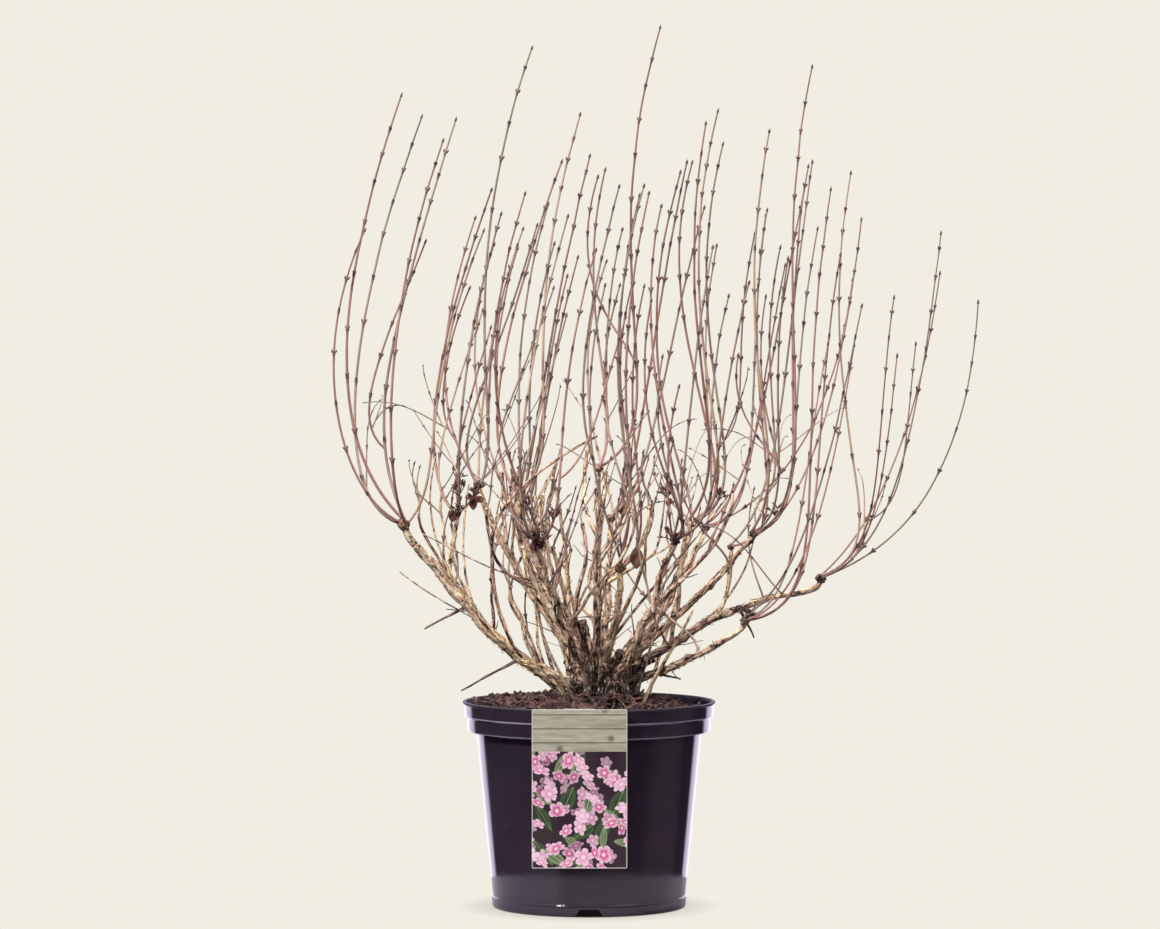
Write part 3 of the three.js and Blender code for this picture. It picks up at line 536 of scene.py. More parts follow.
class Crooked(Curve):
    """A curve with small bends along it, and none at its two ends."""

    def __init__(self, curve, bend, seed):
        super().__init__(*curve.points)
        draw = seeded(seed)
        length = norm(self.points[3] - self.points[0])
        self.bend = bend
        self.waves = [
            (length / between(draw, BEND_LENGTHS), 2 * math.pi * draw(),
             direction(360 * draw(), 90 * draw() - 45))
            for _ in range(4)
        ]

    def at(self, share):
        share = np.asarray(share, float)
        fade = np.sqrt(np.clip(np.sin(np.pi * np.clip(share, 0, 1)), 0, 1))
        wander = sum(np.sin(share * pace + start)[..., None] * way for pace, start, way in self.waves)
        return super().at(share) + 0.5 * self.bend * fade[..., None] * wander


def straight(start, end):
    start = np.array(start, float)
    end = np.array(end, float)
    return Curve(start, start + (end - start) / 3, start + (end - start) * 2 / 3, end)


def heading_of(row):
    return math.degrees(math.atan2(row.tip[1] - STOOL[1], row.tip[0] - STOOL[0]))


def bough_curve(row):
    """A bough's centre line, from inside the stool to its tip."""
    tip = np.array(row.tip, float)
    heading = heading_of(row)
    steep = math.sin(math.radians(row.leave))
    root = np.array([STOOL[0], STOOL[1], SEAT + BOUGH_ROOT + BOUGH_RISE * steep])
    root += direction(row.start, 0) * BOUGH_START * (1 - BOUGH_INWARD * steep)
    span = norm(tip - root)
    leaving = root + direction(heading, row.leave) * BOUGH_LEAVING * span
    arriving = tip - direction(heading, row.arrive) * BOUGH_ARRIVING * span
    return Curve(root, leaving, arriving, tip)


def bough_radius(row, share):
    return lerp(row.thick, row.thin, share) / 2


def bark_radius(row, share):
    """A bough's radius without its relief. The bark tapers a little more than the solid limb."""
    slim = STOUT_SLIM if row.name == "left_low" else BARK_SLIM
    return bough_radius(row, share) * lerp(*slim, share)


def stem_curve(row, bough):
    """The stem that carries a mass, from just off its bough to the middle of its head."""
    head = np.array(row.head, float)
    start = bough.at(row.at)
    along = bough.tangent(row.at)
    if row.at == 1:
        start = start + along * GAP
    span = norm(head - start)
    return Curve(start, start + along * STEM_HANDLE * span, head - (0, 0, STEM_HANDLE * span), head)


def twig_curve(root, tip, outward, lift, draw):
    """A twig starts outwards from its root, and ends upright with a little lean."""
    span = norm(tip - root)
    start = unit(np.array([outward[0], outward[1], lift]))
    bow = TWIG_BOW * span * between(draw, REACH_SPREAD)
    lean = TWIG_LEAN - TWIG_GATHER * tip[0] + between(draw, SWAY_SPREAD)
    sway = -TWIG_GATHER * tip[1] + between(draw, SWAY_SPREAD)
    rise = TWIG_RISE * span * between(draw, REACH_SPREAD)
    end = unit(np.array([lean, sway, 1]))
    return Curve(root, root + start * bow, tip - end * rise, tip)


# ---- growth


class Crowd:
    """Straight pieces of every limb grown so far, with their thickest radius and their owner."""

    def __init__(self):
        self.pieces = np.zeros((0, 7))
        self.owners = np.zeros(0, int)

    def add(self, pieces, owner):
        self.pieces = np.concatenate([self.pieces, pieces])
        self.owners = np.concatenate([self.owners, np.full(len(pieces), owner)])

    def is_clear(self, pieces, owner, clearance):
        others = self.pieces[self.owners != owner]
        needed = pieces[:, None, 6] + others[None, :, 6] + clearance
        return bool(np.all(distances(pieces, others) > needed))


def distances(pieces, others):
    """The smallest distance of each straight piece from each of the others."""
    u = (pieces[:, 3:6] - pieces[:, :3])[:, None]
    v = (others[:, 3:6] - others[:, :3])[None]
    w = pieces[:, None, :3] - others[None, :, :3]
    uu, vv, uv = (u * u).sum(-1), (v * v).sum(-1), (u * v).sum(-1)
    uw, vw = (u * w).sum(-1), (v * w).sum(-1)
    spread = uu * vv - uv * uv
    level = spread <= 1e-9
    s = np.where(level, 0, np.clip((uv * vw - vv * uw) / np.where(level, 1, spread), 0, 1))
    t = np.clip((uv * s + vw) / vv, 0, 1)
    s = np.clip((uv * t - uw) / uu, 0, 1)
    return norm(w + u * s[..., None] - v * t[..., None], axis=-1)


def traced(curve, samples, thick, thin):
    """A limb as straight pieces: start, end and thickest radius."""
    shares = np.arange(samples + 1) / samples
    points = curve.at(shares)
    return np.column_stack([points[:-1], points[1:], lerp(thick, thin, shares[:-1])])


Twig = namedtuple("Twig", "curve thick thin pieces kind")


def make_twig(curve, thick, thin, kind, swell=1.3):
    return Twig(curve, thick, thin, traced(curve, TWIG_SAMPLES, thick * swell, thin * swell), kind)


def inside_box(pieces):
    low = np.array(CAD_BOX[0]) / MM + CROWN_EDGE
    high = np.array(CAD_BOX[1]) / MM - CROWN_EDGE
    ends = pieces[:, 3:6]
    return bool(np.all(ends > low) and np.all(ends < high))


class Mass:
    """The twigs that spring from one head."""

    def __init__(self, row, index, bough, curve):
        self.row = row
        self.index = index
        self.draw = seeded(SEED + 101 * (index + 1))
        self.fine = seeded(SEED * 3 + 977 * (index + 1))
        self.head = np.array(row.head, float)
        self.stem = stem_curve(row, curve)
        self.stem_radius = bough_radius(bough, row.at) * (1 if row.at == 1 else STEM_SIDE)
        self.middle = np.mean(np.array(row.tips, float), axis=0)
        self.twigs = []

    def outward_to(self, tip):
        """Level direction away from the middle of the plant, turned a little towards the tip."""
        pull = (self.head - STOOL) * TWIG_AWAY + (tip - self.head)
        pull[2] = 0
        return pull / max(norm(pull), TWIG_FULL_PULL)

    def from_head(self, tip):
        """A twig from the head, rooted on the side where no other twig is yet."""
        turn = GOLDEN_ANGLE * len(self.twigs) + between(self.draw, ROOT_TURN)
        spot = direction(turn, between(self.draw, ROOT_LIFT))
        root = self.head + spot * TWIG_ROOTED * self.stem_radius
        return self.propose(root, tip, self.outward_to(tip) + spot * TWIG_FAN)

    def propose(self, root, tip, outward):
        lift = self.row.lift + between(self.draw, LIFT_SPREAD)
        curve = twig_curve(root, tip, outward, lift, self.draw)
        length = norm(tip - root) * TWIG_CURVED
        thick = min(TWIG_ROOT, TWIG_SHORT_ROOT + length / TWIG_THICKEN)
        return make_twig(curve, thick, TWIG_END, "wand", NODE_SWELL)

    def keeps_to_space(self, twig):
        """A twig keeps to the mass's space: a cone from its head, cut off at its middle height."""
        ends = twig.pieces[:, 3:6]
        if ends[-1, 2] > self.middle[2]:
            return False
        share = np.clip((ends[:, 2] - self.head[2]) / (self.middle[2] - self.head[2]), 0, 1)
        axis = self.head[:2] + (self.middle[:2] - self.head[:2]) * share[:, None]
        aside = norm(ends[:, :2] - axis, axis=1)
        return bool(np.all(aside < STEM_NECK + self.row.room * share))

    def added(self, twig, crowd):
        """Whether the twig is clear of all others; if so, it is added."""
        clear = crowd.is_clear(twig.pieces[1:], self.index, TWIG_CLEAR)
        if clear:
            self.twigs.append(twig)
            crowd.add(twig.pieces, self.index)
        return clear

    def grow_leader(self, tip, crowd):
        for _ in range(TWIG_TRIES):
            if self.added(self.from_head(tip), crowd):
                return
        raise RuntimeError(f"{self.row.name}: no clear way to the tip at {tip}")

    def grow_filler(self, crowd):
        draw = self.draw
        for _ in range(TWIG_TRIES):
            parent = self.twigs[int(draw() * len(self.row.tips))]
            fork = parent.curve.at(between(draw, FILLER_FORK))
            tip = self.head + (parent.curve.at(1) - self.head) * between(draw, FILLER_REACH)
            heading = 360 * draw()
            tip = tip + direction(heading, 0) * between(draw, FILLER_ASIDE)
            forked = draw() < FILLER_FORKED
            twig = self.propose(fork, tip, self.outward_to(tip)) if forked else self.from_head(tip)
            if self.keeps_to_space(twig) and self.added(twig, crowd):
                return

    def grow_branchlet(self, crowd):
        """A short thin twig, low on a longer one and often dead."""
        draw = self.fine
        parent = self.twigs[int(draw() * len(self.twigs))]
        root = parent.curve.at(between(draw, BRANCHLET_FORK))
        aim = direction(360 * draw(), between(draw, BRANCHLET_LIFT))
        length = between(draw, BRANCHLET_LENGTH)
        bend = direction(360 * draw(), 40) * length * 0.25
        tip = root + aim * length + (0, 0, 0.3 * length * draw())
        curve = Curve(root, root + aim * length * 0.3 + bend * 0.3, tip - aim * length * 0.3 + bend, tip)
        thick = BRANCHLET_THICK * between(draw, (0.75, 1.2))
        twig = make_twig(curve, thick, BRANCHLET_THIN, "branchlet", NODE_SWELL)
        heights = twig.pieces[:, 5]
        inside = CROWN_LOW < heights.min() and heights.max() < self.middle[2] and inside_box(twig.pieces)
        if inside and crowd.is_clear(twig.pieces[2:], NO_OWNER, BRANCHLET_CLEAR):
            self.twigs.append(twig)
            crowd.add(twig.pieces[2:], self.index)


def grow_side_shoot(root, crowd, draw):
    """A slender shoot that rises from an old stem and leans, mostly to the right."""
    for _ in range(SIDE_TRIES):
        rise = between(draw, SHOOT_RISE)
        heading = between(draw, SHOOT_HEADING) + (180 if draw() < SHOOT_LEFT else 0)
        lean = between(draw, SHOOT_LEAN)
        tip = root + direction(heading, 0) * rise * lean + (0, 0, rise)
        if tip[2] > SHOOT_TOP:
            continue
        outward = direction(360 * draw(), 0) * between(draw, (0.1, 0.8))
        curve = twig_curve(root, tip, outward, between(draw, (0.6, 1.4)), draw)
        twig = make_twig(curve, between(draw, SHOOT_THICK), SHOOT_THIN, "side shoot")
        if inside_box(twig.pieces) and crowd.is_clear(twig.pieces[2:], NO_OWNER, SHOOT_CLEAR):
            crowd.add(twig.pieces[1:], OLD_WOOD)
            return [twig]
    return []


def grow_side_stems(row, bough, settings, crowd, draw):
    """The old side stems of a bough, the shoots on them, and shoots from the bough itself."""
    stems, shoots = [], []
    heading = heading_of(row)
    for _ in range(round(settings.side_stems * SIDE_STEMS_OF.get(row.name, SIDE_STEMS))):
        for _ in range(SIDE_TRIES):
            root = bough.at(between(draw, SIDE_SHARE))
            length = between(draw, SIDE_LENGTH)
            aim = direction(heading + between(draw, SIDE_TURN), between(draw, SIDE_AIM))
            tip = root + direction(heading + between(draw, SIDE_TURN), between(draw, SIDE_RISE)) * length
            end = direction(360 * draw(), 70)
            if tip[2] > SIDE_TOP:
                continue
            plain = Curve(root, root + aim * length * 0.35, tip - end * length * 0.3, tip)
            curve = Crooked(plain, 2.0, 1000 * draw())
            thick = between(draw, SIDE_THICK) / 2
            pieces = traced(curve, 10, thick, thick * SIDE_TAPER)
            if crowd.is_clear(pieces[2:], NO_OWNER, SIDE_CLEAR):
                crowd.add(pieces[2:], OLD_WOOD)
                stems.append((curve, thick))
                for _ in range(1 + int(1.6 * draw())):
                    shoots += grow_side_shoot(curve.at(1.0), crowd, draw)
                if draw() < 0.5:
                    shoots += grow_side_shoot(curve.at(between(draw, (0.4, 0.85))), crowd, draw)
                break
    for _ in range(settings.risers):
        shoots += grow_side_shoot(bough.at(between(draw, (0.2, 0.95))), crowd, draw)
    return stems, shoots


def grow_stub(row, bough, draw):
    """A short dead twig that stands out of a bough."""
    share = between(draw, ALONG_BOUGH)
    root, along = bough.at(share), bough.tangent(share)
    side = unit(np.cross(along, direction(360 * draw(), 90 * draw() - 45)))
    aim = unit(side + along * between(draw, (-0.1, 1.1)) + (0, 0, 0.25))
    length = bough_radius(row, share) + between(draw, STUB_LENGTH) * draw()
    bend = direction(360 * draw(), 30) * length * 0.2
    reach = aim * length
    line = Curve(root, root + reach * 0.4, root + reach * 0.7 + bend, root + reach + bend)
    thick = between(draw, STUB_RADIUS)
    return make_twig(Crooked(line, 2.4, 1000 * draw()), thick, thick * 0.5, "stub")


def crooked_boughs():
    return {row.name: Crooked(bough_curve(row), BOUGH_BEND, SEED + 13 * k) for k, row in enumerate(BOUGHS)}


def spur_lines(row, curve):
    return [straight(curve.at(share), tip) for name, share, tip in SPURS if name == row.name]


def grow_plant(settings):
    """All masses with their twigs, and the boughs' side stems, side shoots and stubs."""
    crowd = Crowd()
    curves = {}
    swell = 1 + BOUGH_UNEVEN
    for number, row in enumerate(BOUGHS):
        curve = curves[row.name] = bough_curve(row)
        limb = traced(curve, BOUGH_RINGS, bough_radius(row, 0) * swell, bough_radius(row, 1) * swell)
        crowd.add(limb, 1000 + number)
        for line in spur_lines(row, curve):
            crowd.add(traced(line, 2, SPUR_RADIUS * SPUR_SWELL, SPUR_RADIUS * SPUR_SWELL), 1000 + number)
    rows = {row.name: row for row in BOUGHS}
    masses = [Mass(row, index, rows[row.bough], curves[row.bough]) for index, row in enumerate(MASSES)]
    for mass in masses:
        radius = mass.stem_radius * STEM_SWELL
        crowd.add(traced(mass.stem, 4, radius, radius), mass.index)
    for mass in masses:
        for tip in mass.row.tips:
            mass.grow_leader(np.array(tip, float), crowd)
    for mass in masses:
        for _ in range(FILLERS):
            mass.grow_filler(crowd)
    bent = crooked_boughs()
    stems, shoots, stubs = [], [], []
    for number, row in enumerate(BOUGHS):
        draw = seeded(SEED * 5 + 31 * (number + 1))
        made = grow_side_stems(row, bent[row.name], settings, crowd, draw)
        stems += made[0]
        shoots += made[1]
        stubs += [grow_stub(row, bent[row.name], draw) for _ in range(settings.stubs)]
    for mass in masses:
        for _ in range(settings.branchlets):
            mass.grow_branchlet(crowd)
    return masses, stems, shoots, stubs


# ---- meshes


def make_mesh(name, points, faces, edges=(), **attributes):
    """A mesh from points in millimetres, with one value or vector a point for each attribute."""
    mesh = bpy.data.meshes.new(name)
    mesh.from_pydata(np.asarray(points, float) * MM, list(edges), faces)
    for key, values in attributes.items():
        values = np.asarray(values, np.float32)
        kind, field = ("FLOAT_VECTOR", "vector") if values.ndim == 2 else ("FLOAT", "value")
        mesh.attributes.new(key, kind, "POINT").data.foreach_set(field, values.ravel())
    mesh.update()
    return mesh


def make_object(name, data, *materials):
    made = bpy.data.objects.new(name, data)
    bpy.context.scene.collection.objects.link(made)
    for material in materials:
        data.materials.append(material)
    return made


def make_plain(piece, *materials):
    """Turns a piece's modifiers into its own plain mesh, with new materials if any are given."""
    graph = bpy.context.evaluated_depsgraph_get()
    mesh = bpy.data.meshes.new_from_object(piece.evaluated_get(graph))
    mesh.name = piece.name
    piece.modifiers.clear()
    piece.data = mesh
    if materials:
        mesh.materials.clear()
    for material in materials:
        mesh.materials.append(material)
    return piece


def finish_piece(piece, slot, *nodes):
    """Attaches the piece to the root body and hides the CAD nodes that it stands for. The slot is not used.
    """
    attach(piece, "root")
    if nodes:
        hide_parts(*nodes)


def face_outwards(mesh):
    """Turns a closed mesh's faces outwards."""
    shape = bmesh.new()
    shape.from_mesh(mesh)
    bmesh.ops.remove_doubles(shape, verts=shape.verts, dist=1e-7)
    bmesh.ops.recalc_face_normals(shape, faces=shape.faces)
    shape.to_mesh(mesh)
    shape.free()


def map_mesh(mesh, spot):
    """Maps a mesh; spot turns a place in millimetres into a place on the map."""
    layer = mesh.uv_layers.new(name="UVMap")
    for loop in mesh.loops:
        layer.data[loop.index].uv = spot(np.array(mesh.vertices[loop.vertex_index].co) / MM)


def circle(radius, height, sides):
    """A level ring of points about the Z axis; the radius is a number, or one for each point."""
    angles = 2 * np.pi * np.arange(sides) / sides
    return np.stack([radius * np.cos(angles), radius * np.sin(angles), np.full(sides, height)], 1)


def ring_faces(rings, sides):
    """Quads between rings of points, each ring one loop round."""
    ring = np.arange(rings - 1)[:, None] * sides
    side = np.arange(sides)[None]
    after = (side + 1) % sides
    quads = np.stack([ring + side, ring + after, ring + sides + after, ring + sides + side], -1)
    return quads.reshape(-1, 4).tolist()


def capped_faces(rings, sides, start=0):
    """Quads between rings, and one face on each end; the first one's corners begin at start."""
    last = (rings - 1) * sides
    low = [(start - k) % sides for k in range(sides)]
    return ring_faces(rings, sides) + [low, [last + k for k in range(sides)]]


def fanned_faces(rings, sides):
    """Quads between rings, and fans to the two end points that come after all the rings."""
    count, last = rings * sides, (rings - 1) * sides
    low = [[count, (k + 1) % sides, k] for k in range(sides)]
    high = [[count + 1, last + k, last + (k + 1) % sides] for k in range(sides)]
    return ring_faces(rings, sides) + low + high


def fanned_mesh(name, rings, low, high):
    """A closed mesh of rings about the Z axis, with its ends on the axis at two heights."""
    points = np.concatenate([*rings, [(0, 0, low), (0, 0, high)]])
    return make_mesh(name, points, fanned_faces(len(rings), len(rings[0])))


def line_frames(points):
    """Side and across directions along a line of points, without twist."""
    ahead = np.gradient(points, axis=0)
    ahead /= norm(ahead, axis=1)[:, None]
    side = np.array([1.0, 0, 0]) if abs(ahead[0][2]) > 0.9 else np.array([0, 0, 1.0])
    sides = []
    for along in ahead:
        side = unit(side - along * side.dot(along))
        sides.append(side)
    return np.array(sides), np.cross(ahead, sides), ahead


def bark_height(around, along, seed):
    """Relief of old bark, from about -1 to 1: long plates, cracks between them, fine grain."""
    x, y = math.cos(around), math.sin(around)
    plates = noise.noise(Vector((x * 1.5, y * 1.5, along / 19 + seed)))
    cracks = noise.noise(Vector((x * 3.6, y * 3.6, along / 34 + seed * 3)))
    grain = noise.noise(Vector((x * 7.5, y * 7.5, along / 5.5 + seed * 7)))
    steps = math.tanh(plates * 7) * 0.5
    return steps + 0.45 * grain - 0.9 * max(0, 0.14 - abs(cracks)) / 0.14


def bark_tube(curve, radius_at, relief, sides, step, seed, knobs=()):
    """A limb of old bark: points, faces, and each point's place on the limb if it were straight."""
    length = curve.length()
    walked = np.linspace(0, length, max(4, int(length / step)))
    points = curve.points_at(walked)
    side, across, _ = line_frames(points)
    rings, grain = [], []
    for index, (centre, distance) in enumerate(zip(points, walked)):
        base = radius_at(distance / length)
        for corner in range(sides):
            around = 2 * math.pi * corner / sides
            radius = base + relief * bark_height(around, distance, seed)
            for at, turn, size in knobs:
                near = math.hypot(distance - at, base * math.remainder(around - turn, 2 * math.pi))
                radius += size * math.exp(-((near / (1.6 * size)) ** 2))
            out = side[index] * math.cos(around) + across[index] * math.sin(around)
            rings.append(centre + out * radius)
            grain.append((base * math.cos(around), base * math.sin(around), distance + seed * 50))
    rings += [points[0], points[-1]]
    grain += [(0, 0, seed * 50), (0, 0, length + seed * 50)]
    return np.array(rings), fanned_faces(len(points), sides), np.array(grain)


def lumpy_ball(centre, radius, rough, seed, detail=3):
    """A knob of burry wood: points and faces."""
    ball = bmesh.new()
    bmesh.ops.create_icosphere(ball, subdivisions=detail, radius=1)
    points = []
    for vert in ball.verts:
        out = vert.co.normalized()
        swell = 1 + rough * noise.noise(out * 2.1 + Vector((seed, 0, 0)))
        swell += 0.5 * rough * noise.noise(out * 5.3 + Vector((0, seed, 0)))
        points.append(np.array(centre) + np.array(out) * radius * swell)
    faces = [[vert.index for vert in face.verts] for face in ball.faces]
    ball.free()
    return np.array(points), faces


class Heap:
    """Shapes gathered into one mesh, each with its material."""

    def __init__(self):
        self.points, self.grain, self.faces, self.kinds, self.count = [], [], [], [], 0

    def add(self, points, faces, grain=None, kind=0):
        self.points.append(points)
        self.grain.append(points if grain is None else grain)
        self.faces += [[corner + self.count for corner in face] for face in faces]
        self.kinds += [kind] * len(faces)
        self.count += len(points)

    def piece(self, name, *materials):
        points = np.concatenate(self.points)
        mesh = make_mesh(name, points, self.faces, grain=np.concatenate(self.grain) * MM)
        mesh.polygons.foreach_set("material_index", self.kinds)
        mesh.shade_smooth()
        return make_object(name, mesh, *materials)


class Skeleton:
    """Twigs as lines of points, and the buds that sit on them."""

    def __init__(self):
        self.lines, self.edges, self.buds, self.count = [], [], [], 0

    def add(self, points, radius, joint, along):
        self.lines.append((points, radius, joint, along))
        ends = range(self.count, self.count + len(points) - 1)
        self.edges += [(first, first + 1) for first in ends]
        self.count += len(points)

    def piece(self, name, sides, material):
        """The twigs with their skin."""
        points, radius, joint, along = (np.concatenate(values) for values in zip(*self.lines))
        mesh = make_mesh(name, points, [], self.edges, radius=radius * MM, joint=joint, along=along)
        return run_tree(make_object(name, mesh), "Twig skin", Sides=sides, Material=material)


# ---- node trees


def feed(socket, value):
    """Links a socket to another one, or gives it a value."""
    if isinstance(value, bpy.types.NodeSocket):
        socket.id_data.links.new(value, socket)
    elif socket.type == "RGBA":
        socket.default_value = (*value[:3], 1)
    else:
        socket.default_value = value


def add_node(tree, kind, inputs=None, **settings):
    """The outputs of a new node; inputs are values or the sockets that feed them.

    A kind without the word Node gets the prefix of the tree's own nodes.
    """
    prefix = "" if "Node" in kind else tree.bl_idname.removesuffix("Tree")
    made = tree.nodes.new(prefix + kind)
    for key, value in settings.items():
        setattr(made, key, value)
    for key, value in (inputs or {}).items():
        feed(made.inputs[key], value)
    return made.outputs


def wired(kind, inputs, **settings):
    """The outputs of a new node, in the tree of the sockets that feed it."""
    tree = next(value for value in inputs.values() if isinstance(value, bpy.types.NodeSocket)).id_data
    return add_node(tree, kind, inputs, **settings)


def new_tree(name, **sockets):
    """A geometry node tree with these inputs after the geometry: itself and what it is given."""
    tree = bpy.data.node_groups.new(name, "GeometryNodeTree")
    for socket, kind in {"Geometry": "Geometry", **sockets}.items():
        tree.interface.new_socket(socket, in_out="INPUT", socket_type="NodeSocket" + kind)
    tree.interface.new_socket("Geometry", in_out="OUTPUT", socket_type="NodeSocketGeometry")
    return tree, tree.nodes.new("NodeGroupInput").outputs


def end_tree(geometry, material):
    """Realises the instances, sets the material and leads to the output."""
    real = wired("RealizeInstances", {"Geometry": geometry})[0]
    smooth = wired("SetShadeSmooth", {"Geometry": real})[0]
    dressed = wired("SetMaterial", {"Geometry": smooth, "Material": material})[0]
    feed(material.id_data.nodes.new("NodeGroupOutput").inputs[0], dressed)


def named(tree, name, kind="FLOAT"):
    return add_node(tree, "InputNamedAttribute", {"Name": name}, data_type=kind)["Attribute"]


def skin_tree():
    """Turns a skeleton of edges into round twigs of each point's radius."""
    tree, given = new_tree("Twig skin", Sides="Int", Material="Material")
    line = wired("MeshToCurve", {"Mesh": given["Geometry"]})[0]
    sized = wired("SetCurveRadius", {"Curve": line, "Radius": named(tree, "radius")})[0]
    ring = wired("CurvePrimitiveCircle", {"Resolution": given["Sides"], "Radius": 1.0})[0]
    shapes = {"Curve": sized, "Profile Curve": ring, "Scale": named(tree, "radius"), "Fill Caps": True}
    end_tree(wired("CurveToMesh", shapes)[0], given["Material"])


def setting_tree():
    """Sets a copy of the template on each point: Z along aim, X towards facing, scaled by size."""
    tree, given = new_tree("Set on points", Template="Object", Material="Material")
    template = wired("ObjectInfo", {"Object": given["Template"]})["Geometry"]
    turn = "FunctionNodeAlignRotationToVector"
    aim, facing = named(tree, "aim", "FLOAT_VECTOR"), named(tree, "facing", "FLOAT_VECTOR")
    aimed = wired(turn, {"Vector": aim}, axis="Z")[0]
    faced = wired(turn, {"Rotation": aimed, "Vector": facing}, axis="X", pivot_axis="Z")[0]
    copies = {"Points": given["Geometry"], "Instance": template, "Rotation": faced}
    placed = wired("InstanceOnPoints", {**copies, "Scale": named(tree, "size")})[0]
    end_tree(placed, given["Material"])


def run_tree(piece, name, **values):
    """Gives the piece this tree as a modifier with these inputs, and turns the result into its mesh."""
    tree = bpy.data.node_groups[name]
    modifier = piece.modifiers.new(name, "NODES")
    modifier.node_group = tree
    sockets = {item.name: item.identifier for item in tree.interface.items_tree if item.in_out == "INPUT"}
    for key, value in values.items():
        modifier[sockets[key]] = value
    return make_plain(piece)


def set_copies(name, slot, template, material, rows):
    """A piece of copies of a template; a row says a copy's place, aim, facing and size."""
    places, aims, facings, sizes = (list(values) for values in zip(*rows))
    mesh = make_mesh(name, places, [], aim=aims, facing=facings, size=sizes)
    piece = run_tree(make_object(name, mesh), "Set on points", Template=template, Material=material)
    finish_piece(piece, slot)
    return piece


# ---- shaders


def source(shader, kind, output=0, **settings):
    """An output of a new node that needs no input, in the shader's tree."""
    return add_node(shader.id_data, kind, **settings)[output]


def maths(operation, first, second=0.0):
    return wired("Math", {0: first, 1: second}, operation=operation)[0]


def times(first, second):
    return maths("MULTIPLY", first, second)


def plus(first, second):
    return maths("ADD", first, second)


def minus(first, second):
    return maths("SUBTRACT", first, second)


def absolute(value):
    return maths("ABSOLUTE", value)


def mapped(value, low, high, new_low=0.0, new_high=1.0):
    limits = {"From Min": low, "From Max": high, "To Min": new_low, "To Max": new_high}
    return wired("MapRange", {"Value": value, **limits})["Result"]


def mixed(share, first, second):
    """A colour between two others, by the share of the second."""
    return wired("Mix", {0: share, 6: first, 7: second}, data_type="RGBA")[2]


def noisy(place, scale, detail=2.0, roughness=0.5):
    values = {"Vector": place, "Scale": scale, "Detail": detail, "Roughness": roughness}
    return wired("TexNoise", values)[0]


def grouped(name, **values):
    return wired("Group", values, node_tree=bpy.data.node_groups[name])


def grained(place, scale, stretch):
    return grouped("Grain", Vector=place, Scale=scale, Stretch=stretch)


def strewn(place, scale, spread, tilt, seed):
    """Strewn frames, their pattern moved by the seed."""
    moved = wired("Mapping", {"Vector": place, "Location": (seed, seed * 1.7, 0)})[0]
    return grouped("Strewn", Vector=moved, Scale=scale, Spread=spread, Tilt=tilt)


def shader_group(name, outputs, **inputs):
    """A shader node group's inputs and outputs; an input has its default number, or None for a vector."""
    tree = bpy.data.node_groups.new(name, "ShaderNodeTree")
    for key, default in inputs.items():
        kind = "NodeSocketVector" if default is None else "NodeSocketFloat"
        socket = tree.interface.new_socket(key, in_out="INPUT", socket_type=kind)
        if default is not None:
            socket.default_value = default
    for key in outputs:
        tree.interface.new_socket(key, in_out="OUTPUT", socket_type="NodeSocketFloat")
    return tree.nodes.new("NodeGroupInput").outputs, tree.nodes.new("NodeGroupOutput").inputs


def grain_group():
    """Grain that runs along Z: fine streaks, broad patches and cracks."""
    outputs = ("Streaks", "Patches", "Cracks")
    given, out = shader_group("Grain", outputs, Vector=None, Scale=100.0, Stretch=4.0)
    scale = given["Scale"]
    sizes = wired("CombineXYZ", {0: scale, 1: scale, 2: maths("DIVIDE", scale, given["Stretch"])})[0]
    spot = wired("VectorMath", {0: given["Vector"], 1: sizes}, operation="MULTIPLY")[0]
    ridge = absolute(minus(noisy(spot, 0.7, 2.0, 0.45), 0.5))
    feed(out["Streaks"], mapped(noisy(spot, 1.0, 5.0, 0.62), 0.3, 0.7))
    feed(out["Patches"], mapped(noisy(spot, 0.22, 3.0, 0.5), 0.36, 0.64))
    feed(out["Cracks"], mapped(ridge, 0.035, 0.0))


def strewn_group():
    """Strews frames over a plane, one a cell, each turned and tilted: place in it, tone and size."""
    outputs = ("X", "Y", "Tone", "Size")
    given, out = shader_group("Strewn", outputs, Vector=None, Scale=7.0, Spread=0.7, Tilt=1.6)
    spot = wired("VectorMath", {0: given["Vector"], "Scale": given["Scale"]}, operation="SCALE")[0]
    cells = {"Vector": spot, "Scale": 1.0, "Randomness": given["Spread"]}
    cell = wired("TexVoronoi", cells, voronoi_dimensions="2D")
    middle = wired("VectorMath", {0: spot, 1: cell["Position"]}, operation="SUBTRACT")[0]
    tones = wired("SeparateColor", {0: cell["Color"]})
    turn = times(tones[0], 2 * math.pi)
    turned = wired("VectorRotate", {"Vector": middle, "Angle": turn}, rotation_type="Z_AXIS")[0]
    parts = wired("SeparateXYZ", {0: turned})
    feed(out["X"], parts[0])
    feed(out["Y"], times(parts[1], plus(1.0, times(tones[1], given["Tilt"]))))
    feed(out["Tone"], tones[2])
    feed(out["Size"], mapped(maths("FRACT", times(tones[0], 7.3)), 0, 1, 0.7, 1.0))


